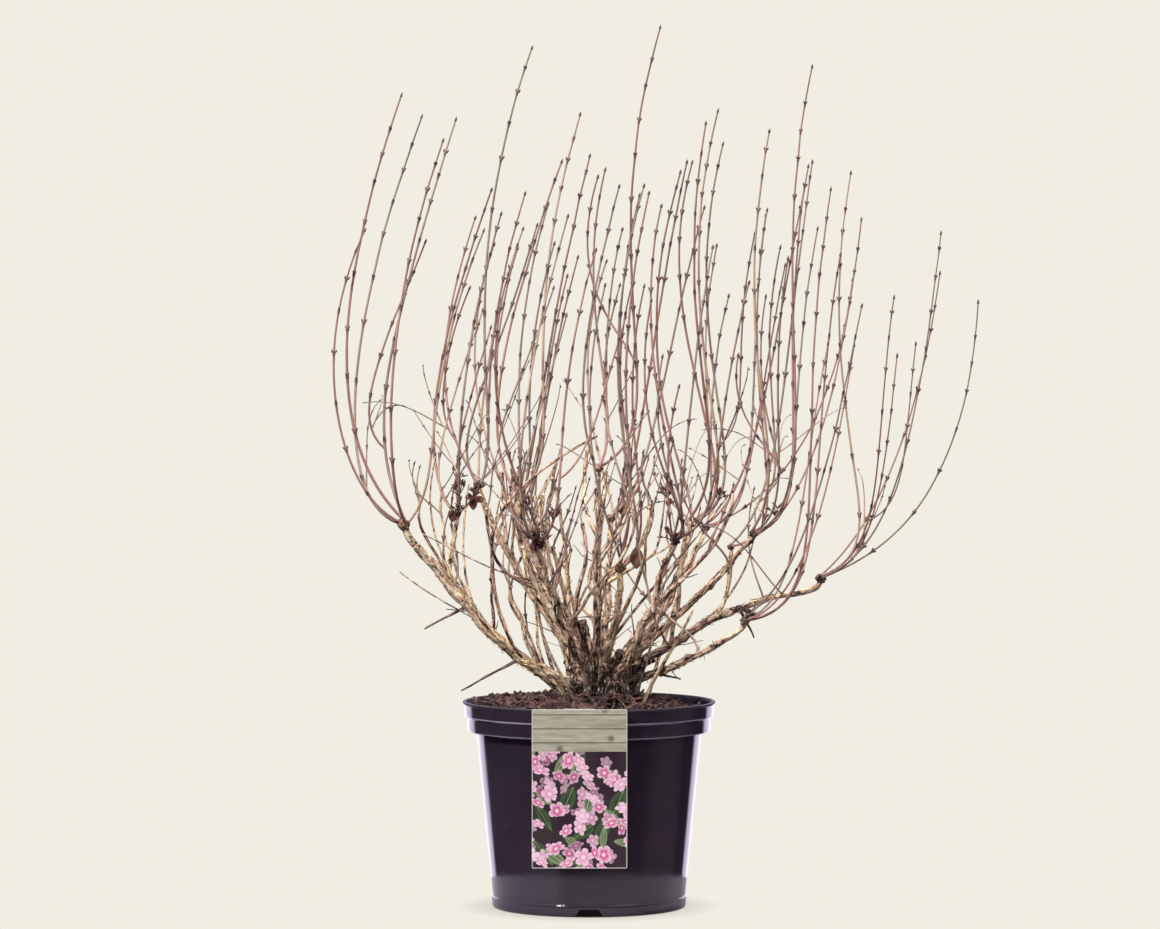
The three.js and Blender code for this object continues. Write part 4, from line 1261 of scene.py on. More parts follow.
def blossom_group():
    """A flower of five uneven petals in a frame: where it is, and how far out a point lies in it."""
    given, out = shader_group("Blossom", ("Mask", "Depth", "Seam"), X=0.0, Y=0.0, Size=1.0)
    x, y = given["X"], given["Y"]
    angle = maths("ARCTAN2", y, x)
    lobes = absolute(maths("COSINE", times(angle, 2.5)))
    petals = plus(maths("POWER", lobes, 0.5), times(maths("SINE", times(angle, 3.0)), 0.09))
    reach = times(given["Size"], mapped(petals, 0.0, 1.0, 0.2, 0.46))
    depth = maths("DIVIDE", maths("SQRT", plus(times(x, x), times(y, y))), reach)
    feed(out["Mask"], mapped(depth, 1.04, 0.96))
    feed(out["Depth"], maths("MINIMUM", depth, 1.0))
    feed(out["Seam"], mapped(lobes, 0.28, 0.0))


def new_material(name):
    """An empty material and its Principled shader."""
    material = bpy.data.materials.new(name)
    material.use_nodes = True
    return material, material.node_tree.nodes["Principled BSDF"]


def object_place(shader):
    return source(shader, "TexCoord", "Object")


def dress_shader(shader, colour, rough, height, strength, distance):
    """Feeds a Principled shader its colour, its roughness and a relief from a height."""
    relief = {"Height": height, "Strength": strength, "Distance": distance}
    feed(shader.inputs["Base Color"], colour)
    feed(shader.inputs["Roughness"], rough)
    feed(shader.inputs["Normal"], wired("Bump", relief)[0])


def plastic_material(settings):
    """Glossy black moulded plastic, with faint scuffs and dust, and painted glints along the collar's two
    edges.
    """
    material, shader = new_material("Nursery pot plastic")
    place = object_place(shader)
    scuffs = grained(place, 60.0, 0.5)
    specks = mapped(noisy(place, 420.0), 0.66, 0.74)
    share = mapped(scuffs["Patches"], 0.0, 1.0, 0.0, 0.35)
    colour = mixed(share, settings.plastic, shaded(settings.plastic, 1.7))
    colour = mixed(times(specks, 0.12), colour, linear(140, 132, 128))
    height = wired("SeparateXYZ", {0: place})[2]
    # Painted glints: pale lines along the collar's two edges.
    for edge, strength in ((UPPER_EDGE + 0.9, 0.62), (LOWER_EDGE + 1.6, 0.42)):
        near = mapped(absolute(minus(height, edge * MM)), 1.1 * MM, 0.5 * MM)
        wear_and_glint = times(near, mapped(scuffs["Streaks"], 0.0, 1.0, strength, strength * 0.6))
        colour = mixed(wear_and_glint, colour, settings.wear_and_glint)
    under_lip = POT_HEIGHT - LIP_DEPTH
    rough = mapped(scuffs["Patches"], 0.0, 1.0, settings.gloss, settings.gloss + 0.04)
    rough = plus(rough, mapped(height, (under_lip - 0.6) * MM, under_lip * MM, 0.0, 0.5))
    shader.inputs["IOR"].default_value = 1.52
    dress_shader(shader, colour, rough, scuffs["Streaks"], 0.06, 0.3 * MM)
    return material


def compost_material(name, light, dark, scale=500.0):
    """Compost, chips of bark and old roots."""
    material, shader = new_material(name)
    grain = grained(object_place(shader), scale, 1.0)
    colour = mixed(grain["Streaks"], dark, light)
    colour = mixed(times(grain["Cracks"], 0.7), colour, shaded(dark, 0.3))
    dress_shader(shader, colour, mapped(grain["Patches"], 0, 1, 0.7, 0.95), grain["Streaks"], 0.8, 1.2 * MM)
    return material


def old_bark_material(name, light, mid, dark, wear_and_glint, stain_and_shade_depth=0.55, stain_and_shade_top=280):
    """Flaking bark, partly gone dark with wear, and darker towards the compost with painted shade and compost
    stain; the numbers after the colours say how much of each.
    """
    material, shader = new_material(name)
    place = source(shader, "Attribute", "Vector", attribute_name="grain")
    coarse = grained(place, 200.0, 3.2)
    fine = grained(place, 700.0, 4.0)
    yellow = [light[0] * 1.04, light[1] * 0.92, light[2] * 0.6]
    # Pale: a lightened copy of the bark, laid in streaks; partly pale bark, partly painted highlight.
    pale = shaded(light, 1.4, 0.06)
    colour = mixed(coarse["Patches"], mixed(grained(place, 50.0, 1.5)["Patches"], light, yellow), mid)
    colour = mixed(mapped(coarse["Streaks"], 0.4, 0.2), colour, pale)
    colour = mixed(mapped(coarse["Streaks"], 0.94 - wear_and_glint, 1.04 - wear_and_glint), colour, dark)
    height = wired("SeparateXYZ", {0: object_place(shader)})[2]
    # Painted shade and compost stain: darker towards the compost, with a ragged top.
    ragged = plus(height, times(coarse["Patches"], 0.03))
    ragged = plus(ragged, times(coarse["Streaks"], -0.03))
    stain_and_shade = mapped(ragged, stain_and_shade_top * MM, STAIN_AND_SHADE_FOOT * MM, 0.0, stain_and_shade_depth)
    colour = mixed(stain_and_shade, colour, linear(22, 13, 12))
    # Painted highlight, partly pale bark: fine pale streaks, over the darker foot too.
    colour = mixed(mapped(fine["Streaks"], 0.34, 0.16, 0.0, 0.75), colour, pale)
    colour = mixed(mapped(fine["Streaks"], 0.55, 0.85, 0.0, 0.7), colour, dark)
    colour = mixed(coarse["Cracks"], colour, shaded(dark, 0.35))
    relief = plus(times(fine["Streaks"], 0.5), times(coarse["Cracks"], -1.0))
    dress_shader(shader, colour, mapped(fine["Patches"], 0, 1, 0.62, 0.85), relief, 0.8, 0.6 * MM)
    return material


def listed_bark(name):
    light, mid, dark, *numbers = BARKS[name]
    return old_bark_material(name, linear(*light), linear(*mid), linear(*dark), *numbers)


def young_bark_material(name, colour, tip_colour):
    """Smooth young bark, darker at the joints and redder to the tip, with dark grain streaks that are partly
    painted shade and light patches of painted highlight.
    """
    material, shader = new_material(name)
    place = object_place(shader)
    grain = grained(place, 420.0, 9.0)
    along, joint = (source(shader, "Attribute", "Fac", attribute_name=key) for key in ("along", "joint"))
    tint = mixed(mapped(along, 0.35, 1.0), colour, tip_colour)
    # Partly painted shade: dark streaks along the grain, a darkened copy of the bark.
    tint = mixed(times(grain["Streaks"], 0.75), tint, shaded(colour, 0.45))
    # Painted highlight: broad patches of a lightened copy of the bark.
    tint = mixed(times(grained(place, 60.0, 2.0)["Patches"], 0.3), tint, shaded(colour, 1.7, 0.02))
    tint = mixed(times(joint, 0.78), tint, linear(68, 46, 42))
    dress_shader(shader, tint, mapped(grain["Patches"], 0, 1, 0.45, 0.65), grain["Streaks"], 0.4, 0.2 * MM)
    return material


def scale_material(name, light, dark):
    """Dry bud scales, capsules and leaves."""
    material, shader = new_material(name)
    grain = grained(object_place(shader), 700.0, 4.0)
    colour = mixed(grain["Streaks"], light, dark)
    dress_shader(shader, colour, mapped(grain["Patches"], 0, 1, 0.5, 0.75), grain["Streaks"], 0.5, 0.2 * MM)
    return material


def cut_wood_material():
    """A weathered saw cut with its growth rings, on the disc's own map."""
    material, shader = new_material("Weathered cut")
    place = source(shader, "UVMap", uv_map="UVMap")
    bands = {"Vector": place, "Scale": 2.2, "Distortion": 1.6, "Detail": 2.0, "Detail Scale": 2.0}
    rings = wired("TexWave", bands, wave_type="RINGS", rings_direction="Z")["Fac"]
    colour = mixed(rings, linear(104, 80, 64), linear(58, 42, 36))
    cracks = grained(object_place(shader), 500.0, 1.0)["Cracks"]
    colour = mixed(times(cracks, 0.8), colour, linear(30, 22, 20))
    dress_shader(shader, colour, 0.85, rings, 0.4, 0.3 * MM)
    return material


def printed_boards(place, up, wood, colour):
    """Weathered boards across the card, with their seams and knots."""
    board_row = times(up, 11.4)
    along = maths("FRACT", board_row)
    seam = maths("MAXIMUM", mapped(along, 0.06, 0.02), mapped(along, 0.95, 0.99))
    tone = wired("TexWhiteNoise", {"W": maths("FLOOR", board_row)}, noise_dimensions="1D")["Value"]
    cells = {"Vector": place, "Scale": 3.1, "Randomness": 1.0}
    knots = wired("TexVoronoi", cells, voronoi_dimensions="2D")["Distance"]
    planks = mixed(mapped(tone, 0, 1, 0.05, 0.5), colour, linear(122, 118, 98))
    planks = mixed(times(wood["Streaks"], 0.6), planks, linear(98, 92, 76))
    planks = mixed(times(mapped(knots, 0.09, 0.03), 0.7), planks, linear(76, 66, 52))
    return mixed(times(seam, 0.85), planks, linear(50, 44, 38))


def printed_leaf(place, ground, size, seed, green, veins):
    """A layer of leaves over the ground."""
    leaf = strewn(place, size, 0.9, 0.9, seed)
    half = times(times(leaf["X"], leaf["X"]), 4.6)
    inside = minus(times(minus(1.0, half), 0.24), absolute(leaf["Y"]))
    shown = times(mapped(inside, -0.008, 0.008), mapped(leaf["Tone"], 0.2, 0.21))
    colour = mixed(mapped(inside, 0.0, 0.2), linear(*green), linear(*(value * 0.6 for value in green)))
    colour = mixed(mapped(absolute(leaf["Y"]), 0.02, 0.006), colour, linear(*veins))
    return mixed(shown, ground, colour)


def printed_blossom(place, ground, petals, size, spread, seed, low, lit):
    """A layer of blossom over the ground; lit says how bright it is."""
    spot = strewn(place, size, spread, 1.1, seed)
    flower = grouped("Blossom", X=spot["X"], Y=spot["Y"], Size=spot["Size"])
    depth = flower["Depth"]
    colour = mixed(mapped(spot["Tone"], 0.3, 1.0), linear(190, 38, 118), petals)
    for share, tint in (
        (mapped(spot["Tone"], 0.6, 0.95), (232, 186, 206)),
        (mapped(depth, 0.35, 1.0), (234, 202, 214)),
        (times(flower["Seam"], 0.55), (170, 40, 108)),
        (mapped(depth, 0.34, 0.14), (250, 226, 226)),
        (mapped(depth, 0.12, 0.06), (226, 190, 110)),
    ):
        colour = mixed(share, colour, linear(*tint))
    colour = mixed(lit, linear(40, 16, 40), colour)
    return mixed(times(flower["Mask"], mapped(spot["Tone"], low, low + 0.01)), ground, colour)


def label_material(settings):
    """The printed card: weathered boards above, pink blossom and leaves below, and a pale border."""
    material, shader = new_material("Printed card")
    place = source(shader, "UVMap", uv_map="UVMap")
    across, up = wired("SeparateXYZ", {0: place})[:2]
    wood = grained(wired("Mapping", {"Vector": place, "Rotation": (0, math.pi / 2, 0)})[0], 34.0, 7.0)
    planks = printed_boards(place, up, wood, settings.planks)
    ground = mixed(mapped(noisy(place, 5.0, 3.0), 0.35, 0.7), linear(46, 26, 38), linear(58, 52, 46))
    for layer in ((4.6, 3.1, (70, 92, 58), (128, 146, 98)), (5.6, 8.7, (132, 150, 108), (184, 196, 152))):
        ground = printed_leaf(place, ground, *layer)
    for layer in ((8.6, 1.0, 5.3, 0.3, 0.5), (8.0, 0.95, 2.4, 0.34, 0.8),
                  (6.9, 0.9, 11.9, 0.3, 1.0), (7.3, 1.0, 17.3, 0.45, 1.0)):
        ground = printed_blossom(place, ground, settings.petals, *layer)
    header = mapped(up, LABEL_PICTURE_TOP - 0.001, LABEL_PICTURE_TOP + 0.001)
    half = LABEL_WIDTH / LABEL_HEIGHT / 2
    side = mapped(absolute(minus(across, half)), half - 0.007, half - 0.005)
    border = maths("MAXIMUM", side, mapped(absolute(minus(up, 0.5)), 0.493, 0.495))
    colour = mixed(times(border, 0.7), mixed(header, ground, planks), linear(205, 202, 192))
    dress_shader(shader, colour, 0.38, wood["Streaks"], 0.04, 0.1 * MM)
    return material


def card_edge_material():
    """Pale plastic, for the card's back and edge and for its hook."""
    material, shader = new_material("Card plastic")
    speck = noisy(object_place(shader), 300.0)
    feed(shader.inputs["Base Color"], mixed(speck, linear(184, 182, 172), linear(204, 202, 194)))
    shader.inputs["Roughness"].default_value = 0.4
    return material


# ---- pot, compost and label


def body_radius(height):
    share = (height - FOOT_HEIGHT) / (LOWER_EDGE - FOOT_HEIGHT)
    return lerp(FOOT_RADIUS - FOOT_STEP, NECK_RADIUS, share)


def rounded(profile, corner, steps=4):
    """A closed outline with its corners rounded."""
    outline = np.array(profile, float)
    soft = []
    for index, point in enumerate(outline):
        before = outline[index - 1] - point
        after = outline[(index + 1) % len(outline)] - point
        if point[0] < 1e-6:
            soft.append(point)
            continue
        reach = min(corner, 0.42 * norm(before), 0.42 * norm(after))
        first = point + unit(before) * reach
        last = point + unit(after) * reach
        for step in range(steps + 1):
            share = step / steps
            soft.append((1 - share) ** 2 * first + 2 * share * (1 - share) * point + share**2 * last)
    return np.array(soft)


def pot_profile(wall):
    """Half outline of the pot, from the middle of the underside out, up, and back inside."""
    return [
        (0, 0), (PAD_RADIUS, 0), (PAD_RADIUS + RING_SLOPE, POT_FLOOR),
        (FOOT_RADIUS - RING_WIDTH - RING_SLOPE, POT_FLOOR), (FOOT_RADIUS - RING_WIDTH, 0),
        (FOOT_RADIUS - RING_SLOPE / 2, 0), (FOOT_RADIUS, RING_SLOPE), (FOOT_RADIUS, FOOT_HEIGHT),
        (body_radius(FOOT_HEIGHT), FOOT_HEIGHT + COLLAR_STEP), (NECK_RADIUS, LOWER_EDGE),
        (LOWER_RADIUS - COLLAR_INSET, LOWER_EDGE + COLLAR_STEP),
        (LOWER_RADIUS, UPPER_EDGE - COLLAR_STEP), (UPPER_RADIUS - COLLAR_INSET, UPPER_EDGE),
        (UPPER_RADIUS, POT_HEIGHT - LIP_DEPTH), (LIP_RADIUS, POT_HEIGHT - LIP_DEPTH + COLLAR_INSET),
        (LIP_RADIUS, POT_HEIGHT), (UPPER_RADIUS - wall, POT_HEIGHT),
        (UPPER_RADIUS - wall - COLLAR_INSET, UPPER_EDGE + wall),
        (LOWER_RADIUS - wall, UPPER_EDGE + wall - COLLAR_STEP),
        (LOWER_RADIUS - wall - COLLAR_INSET, LOWER_EDGE + wall),
        (NECK_RADIUS - wall, LOWER_EDGE + wall - COLLAR_STEP),
        (body_radius(POT_FLOOR + wall) - wall, POT_FLOOR + wall), (0, POT_FLOOR + wall),
    ]


def notch_cutters():
    """The trapezoid blocks that cut the drain notches, as one piece."""
    cutters = Heap()
    half, top = NOTCH_WIDTH / 2, NOTCH_TOP / 2
    corners = [(-half, -1), (half, -1), (top, NOTCH_HEIGHT), (-top, NOTCH_HEIGHT)]
    faces = [[3, 2, 1, 0], [4, 5, 6, 7]]
    faces += [[k, (k + 1) % 4, (k + 1) % 4 + 4, k + 4] for k in range(4)]
    reaches = (FOOT_RADIUS - 2 * RING_WIDTH, FOOT_RADIUS + RING_WIDTH)
    for index in range(NOTCH_COUNT):
        turn = 2 * math.pi * index / NOTCH_COUNT
        out = np.array([math.sin(turn), -math.cos(turn), 0])
        side = np.array([math.cos(turn), math.sin(turn), 0])
        points = [out * reach + side * x + (0, 0, z) for reach in reaches for x, z in corners]
        cutters.add(np.array(points), faces)
    return cutters.piece("notch_cutters")


def soil_top(x, y):
    """Height of the compost's lumpy top at a place."""
    from_stool = np.hypot(x - STOOL[0], y - STOOL[1])
    mound = MOUND * np.exp(-((from_stool / MOUND_RADIUS) ** 2))
    lumps = np.sin(x * 0.11 + 1.3) * np.sin(y * 0.13 + 0.4) + np.sin(x * 0.23 - y * 0.19 + 2.1) * 0.7
    fade = 1 - (np.hypot(x, y) / UPPER_RADIUS) ** 4
    opened = SOIL_LEVEL - SOIL_TILT * x + mound + LUMP * lumps * fade
    return lerp(SEAT, opened, smoothstep(from_stool, SEAT_RADIUS, SEAT_RADIUS + SEAT_BLEND))


def crumbly(x, y):
    """How far a crumb stands out of the compost at a place."""
    return 2.4 * noise.noise(Vector((x / 8, y / 8, 0))) + 1.3 * noise.noise(Vector((x / 2.8, y / 2.8, 4)))


def compost_mesh(wall):
    """The compost, filling the pot, with a crumbly top."""
    rings = [
        circle(radius - wall - GAP, height + wall + GAP, SOIL_FACETS)
        for radius, height in (
            (body_radius(POT_FLOOR + wall), POT_FLOOR),
            (NECK_RADIUS, LOWER_EDGE - COLLAR_STEP),
            (LOWER_RADIUS - COLLAR_INSET, LOWER_EDGE),
            (LOWER_RADIUS, UPPER_EDGE - COLLAR_STEP),
        )
    ]
    for radius in np.linspace(UPPER_RADIUS - wall - COLLAR_INSET - GAP, 2.0, SOIL_RINGS):
        ring = circle(radius, 0, SOIL_FACETS)
        ring[:, 2] = soil_top(ring[:, 0], ring[:, 1]) + [crumbly(x, y) for x, y, _ in ring]
        rings.append(ring)
    return fanned_mesh("compost", rings, POT_FLOOR + wall + GAP, float(soil_top(0.0, 0.0)))


def new_template(name, points, faces, **attributes):
    return bpy.data.objects.new(name, make_mesh(name, points, faces, **attributes))


def chip_template(name, length, width, thick, seed):
    """A splinter along X, broken at its ends."""
    draw = seeded(seed)
    points = []
    for share, taper in zip(np.linspace(-0.5, 0.5, 5), (0.45, 0.9, 1.0, 0.85, 0.35)):
        middle = 0.12 * (draw() - 0.5) * width
        for y, z in ((-1, -0.6), (1, -0.7), (0.8, 0.8), (-0.9, 0.6)):
            ragged = 1 + 0.4 * (draw() - 0.5)
            points.append((share * length * (1 + 0.08 * draw()), middle + y * width / 2 * taper * ragged,
                           z * thick / 2 * ragged))
    return new_template(name, points, capped_faces(5, 4))


def scatter(name, count, seed, size, steep, template, material, away=0.0, lift=0.4):
    """Copies of a template lying on the compost, clear of the pot's wall."""
    draw = seeded(SEED + seed)
    reach = max(template.dimensions) / 2 / MM
    rows = []
    while len(rows) < count:
        scale = between(draw, size)
        radius = (UPPER_RADIUS - 4 - reach * scale) * math.sqrt(draw())
        turn = 2 * math.pi * draw()
        x, y = radius * math.cos(turn), radius * math.sin(turn)
        if math.hypot(x - STOOL[0], y - STOOL[1]) < away:
            continue
        place = (x, y, float(soil_top(x, y)) + lift * draw() + 0.4)
        aim = direction(360 * draw(), 90 - steep * draw())
        rows.append((place, aim, direction(360 * draw(), 0), scale))
    if rows:
        set_copies(name, "compost", template, material, rows).data.shade_flat()


def root_strands(count):
    """Thin dead roots that wander over the compost around the stool."""
    draw = seeded(SEED + 41)
    lines = Skeleton()
    for _ in range(count):
        heading = 360 * draw()
        start = STOOL + direction(heading, 0) * between(draw, (28, 46))
        end = start + direction(heading + between(draw, (-70, 70)), 0) * between(draw, (14, 54))
        aside = direction(360 * draw(), 0) * between(draw, (3, 11))
        third = (end - start) / 3
        curve = Curve(start, start + third + aside, end - third - aside, end)
        shares = np.linspace(0, 1, 16)
        points = curve.points_at(shares * curve.length())
        arch = np.sin(np.pi * shares) * between(draw, (0.6, 3.4))
        points[:, 2] = soil_top(points[:, 0], points[:, 1]) + 1.8 + arch
        if np.all(np.hypot(points[:, 0], points[:, 1]) < UPPER_RADIUS - 6):
            lines.add(points, np.full(16, between(draw, (0.35, 0.8))), np.zeros(16), shares)
    return lines


def card_mesh(corner):
    """The card with rounded corners, mapped with its height as one unit."""
    face = -(LIP_RADIUS + GAP + LABEL_THICK)
    top = POT_HEIGHT + GAP + LABEL_THICK
    foot = top - LABEL_HEIGHT
    half = LABEL_WIDTH / 2
    outline = []
    for x, z, start in ((half, foot, -90), (half, top, 0), (-half, top, 90), (-half, foot, 180)):
        middle = (x - math.copysign(corner, x), z + (corner if z < top else -corner))
        for step in range(7):
            angle = math.radians(start + 15 * step)
            outline.append((LABEL_OFFSET + middle[0] + corner * math.cos(angle),
                            middle[1] + corner * math.sin(angle)))
    count = len(outline)
    points = [(x, y, z) for y in (face, face + LABEL_THICK) for x, z in outline]
    faces = [list(range(count)), list(range(2 * count - 1, count - 1, -1))]
    faces += [[k + count, (k + 1) % count + count, (k + 1) % count, k] for k in range(count)]
    mesh = make_mesh("label_card", points, faces)
    map_mesh(mesh, lambda place: (place - (LABEL_OFFSET - half, 0, foot))[[0, 2]] / LABEL_HEIGHT)
    return mesh


def hook_mesh(wall):
    """The strip that grips over the rim, bent from a flat band."""
    face = -(LIP_RADIUS + GAP + LABEL_THICK / 2)
    top = POT_HEIGHT + GAP + LABEL_THICK / 2
    edge = abs(LABEL_OFFSET) + LABEL_HOOK_WIDTH / 2
    inner = UPPER_RADIUS - wall - COLLAR_INSET
    inside = -(math.sqrt(inner**2 - edge**2) - 2 * GAP - LABEL_THICK / 2)
    path = [(face, top - 3)]
    for middle, start in ((face + 1, 0), (inside - 1, 90)):
        turns = [math.radians(start + turn) for turn in (0, 30, 60, 90)]
        path += [(middle - math.cos(turn), top - 1 + math.sin(turn)) for turn in turns]
    path = np.array([*path, (inside, top - LABEL_HOOK_DEPTH)])
    ahead = np.gradient(path, axis=0)
    normal = np.stack([-ahead[:, 1], ahead[:, 0]], 1)
    normal /= norm(normal, axis=1)[:, None]
    points, half = [], LABEL_THICK * 0.42
    for place, out in zip(path, normal):
        for x, way in ((-0.5, 1), (0.5, 1), (0.5, -1), (-0.5, -1)):
            y, z = place + out * half * way
            points.append((LABEL_OFFSET + x * LABEL_HOOK_WIDTH, y, z))
    return make_mesh("label_hook", points, capped_faces(len(path), 4))


# ---- stool and boughs


def noise_at(place, size):
    return noise.noise(Vector(place / size))


def gnarl(mesh, depth, floor):
    """Roughens a fused mesh into gnarled wood, flat below, and stores its grain."""
    places = np.zeros(len(mesh.vertices) * 3)
    normals = np.zeros(len(mesh.vertices) * 3)
    mesh.vertices.foreach_get("co", places)
    mesh.vertex_normals.foreach_get("vector", normals)
    places = places.reshape(-1, 3) / MM
    heights = [noise_at(p, 9) + 0.6 * noise_at(p, 3.4) - 0.5 * abs(noise_at(p, 5.2)) for p in places]
    places += normals.reshape(-1, 3) * (depth * np.array(heights))[:, None]
    places[:, 2] = np.maximum(places[:, 2], floor)
    places = (places * MM).ravel()
    mesh.vertices.foreach_set("co", places)
    grain = mesh.attributes.new("grain", "FLOAT_VECTOR", "POINT")
    grain.data.foreach_set("vector", places.astype(np.float32))
    mesh.update()
    mesh.shade_smooth()


def disc_axes(along):
    side = unit(np.cross(along, [0, 1.0, 0.2]))
    return np.array([side, np.cross(along, side), along])


def cut_disc(centre, along, radius, sides=24):
    """A shallow disc of end grain on a stump: points and faces."""
    uneven = radius * (1 + 0.05 * np.sin(6 * np.pi * np.arange(sides) / sides))
    rings = [
        circle(reach * uneven, rise, sides)
        for reach, rise in ((1.0, -1.2), (1.0, 0.3), (0.92, 0.55), (0.5, 0.62))
    ]
    points = np.concatenate([*rings, [(0, 0, -1.2), (0, 0, 0.5)]])
    return centre + points @ disc_axes(along), fanned_faces(len(rings), sides)


def disc_map(place, ends):
    """A place on the nearest disc's map, which has the disc's middle at its origin."""
    end, along, radius = min(ends, key=lambda item: norm(place - item[0]))
    return (disc_axes(along) @ (place - end))[:2] / radius


def grow_stool():
    """The stool's knobs and broken stems, still unfused, and the ends of its cut stems."""
    draw = seeded(SEED)
    heap = Heap()
    ball, faces = lumpy_ball((0, 0, 0), STOOL_RADIUS, 0.12, 1)
    heap.add(ball * (1, 1, STOOL_SQUASH) + STOOL + (0, 0, STOOL_MIDDLE), faces)
    for index in range(STOOL_LUMPS):
        out = direction(360 * index / STOOL_LUMPS + LUMP_TURN * draw(), 0)
        radius = between(draw, LUMP_RADIUS)
        middle = STOOL + out * STOOL_RING + (0, 0, between(draw, LUMP_HEIGHT))
        heap.add(*lumpy_ball(middle, radius, 0.2, index + 2))
    ends = []
    for number, (heading, lean, length, across) in enumerate(STUMPS):
        along = direction(heading, 90 - lean)
        root = STOOL + (0, 0, STUMP_ROOT)
        end = root + along * length
        heap.add(*bark_tube(straight(root, end), tapering(across, 1.25, 0.95), 0.9, 20, 2.0, 20 + number)[:2])
        ends.append((end, along, across / 2 * 0.9))
    for number in range(STOOL_STUBS):
        out = direction(GOLDEN_ANGLE * number + 30 * draw(), 0)
        root = STOOL + out * between(draw, (8, 30)) + (0, 0, between(draw, (8, 24)))
        aim = unit(out * between(draw, (0.1, 1.2)) + (0, 0, between(draw, (0.35, 1))))
        length = between(draw, STOOL_STUB_LENGTH)
        across = between(draw, STOOL_STUB_ACROSS)
        line = Crooked(straight(root, root + aim * length), 2.0, 500 * draw())
        heap.add(*bark_tube(line, tapering(across, 1.2, 0.75), 0.7, 14, 2.0, 90 + number)[:2])
    return heap, ends


def tapering(across, root=1.0, tip=1.0):
    """The radius of a limb of this thickness, by the share of its length."""
    return lambda share: across / 2 * lerp(root, tip, share)


def root_flare(row, curve, look, number, draw):
    """The part of a bough that comes up out of the compost beside the stool."""
    end = curve.at(FLARE_SHARE)
    out = direction(row.start + between(draw, (-22, 22)), 0) * between(draw, FLARE_REACH)
    low = np.array([STOOL[0] + out[0], STOOL[1] + out[1], 0])
    low[2] = float(soil_top(low[0], low[1])) - 4
    line = Curve(low, low + (0, 0, 12), end - curve.tangent(FLARE_SHARE) * 34, end)
    return bark_tube(line, tapering(2 * bark_radius(row, FLARE_SHARE), 1.12, 0.9), *look, 120 + number)


def grow_bough(row, number, curve, look, draw):
    """A bough's bark with its knobs, its dead spurs and its flare. Look is relief, sides and step."""
    length = norm(curve.points[3] - curve.points[0]) * 1.1
    knobs = [(length * (0.15 + 0.8 * draw()), 2 * math.pi * draw(), 0.9 + 1.6 * draw()) for _ in range(7)]
    heap = Heap()
    heap.add(*bark_tube(curve, lambda share: bark_radius(row, share), *look, 3.7 * number, knobs))
    for line in spur_lines(row, curve):
        radius_at = tapering(2 * SPUR_RADIUS, SPUR_SWELL, 0.7)
        heap.add(*bark_tube(Crooked(line, 2.2, SEED + number), radius_at, 0.3, 9, 2.0, number), 1)
    if row.leave < FLARE_STEEP:
        heap.add(*root_flare(row, curve, look, number, draw))
    return heap


def flake_template():
    """A thin curled strip of bark, standing along Z with its outside towards X."""
    points, rows = [], 7
    for index in range(rows):
        share = index / (rows - 1)
        width = 2.6 * math.sin(math.pi * (0.12 + 0.8 * share)) ** 0.6
        lift = 0.15 + 6.0 * max(0, share - 0.45) ** 2
        for y, depth in ((-0.5, 0.0), (0.0, 0.28), (0.5, 0.0), (0.5, -0.3), (0.0, -0.05), (-0.5, -0.3)):
            points.append((lift + depth, y * width, (share - 0.5) * 13))
    template = new_template("flake", points, capped_faces(rows, 6, 5), grain=np.array(points) * MM)
    face_outwards(template.data)
    return template


def loose_flakes(row, curve, count, draw):
    """Places, aims, facings and sizes of the flakes on a bough."""
    found = []
    for _ in range(count):
        share = between(draw, ALONG_BOUGH)
        along = curve.tangent(share)
        side = unit(np.cross(along, direction(360 * draw(), 60 * draw() - 30)))
        way = 1 if draw() < 0.5 else -1
        tilt = unit(along * way + side * 0.12 * draw())
        place = curve.at(share) + side * bark_radius(row, share) * 1.03
        found.append((place, tilt, side, between(draw, (0.35, 1.0))))
    return found


# ---- twigs, buds, capsules and leaves


def node_distances(length, step, draw, bare):
    """Distances of the bud pairs from the root: close at the tip, wider below."""
    found = []
    back = between(draw, (0.36, 0.8)) * step
    gap = 0.5 * step
    while back < length * (1 - bare):
        found.append(length - back)
        back += gap * between(draw, (0.85, 1.15))
        gap = min(step, gap * 1.2)
    return found[::-1]


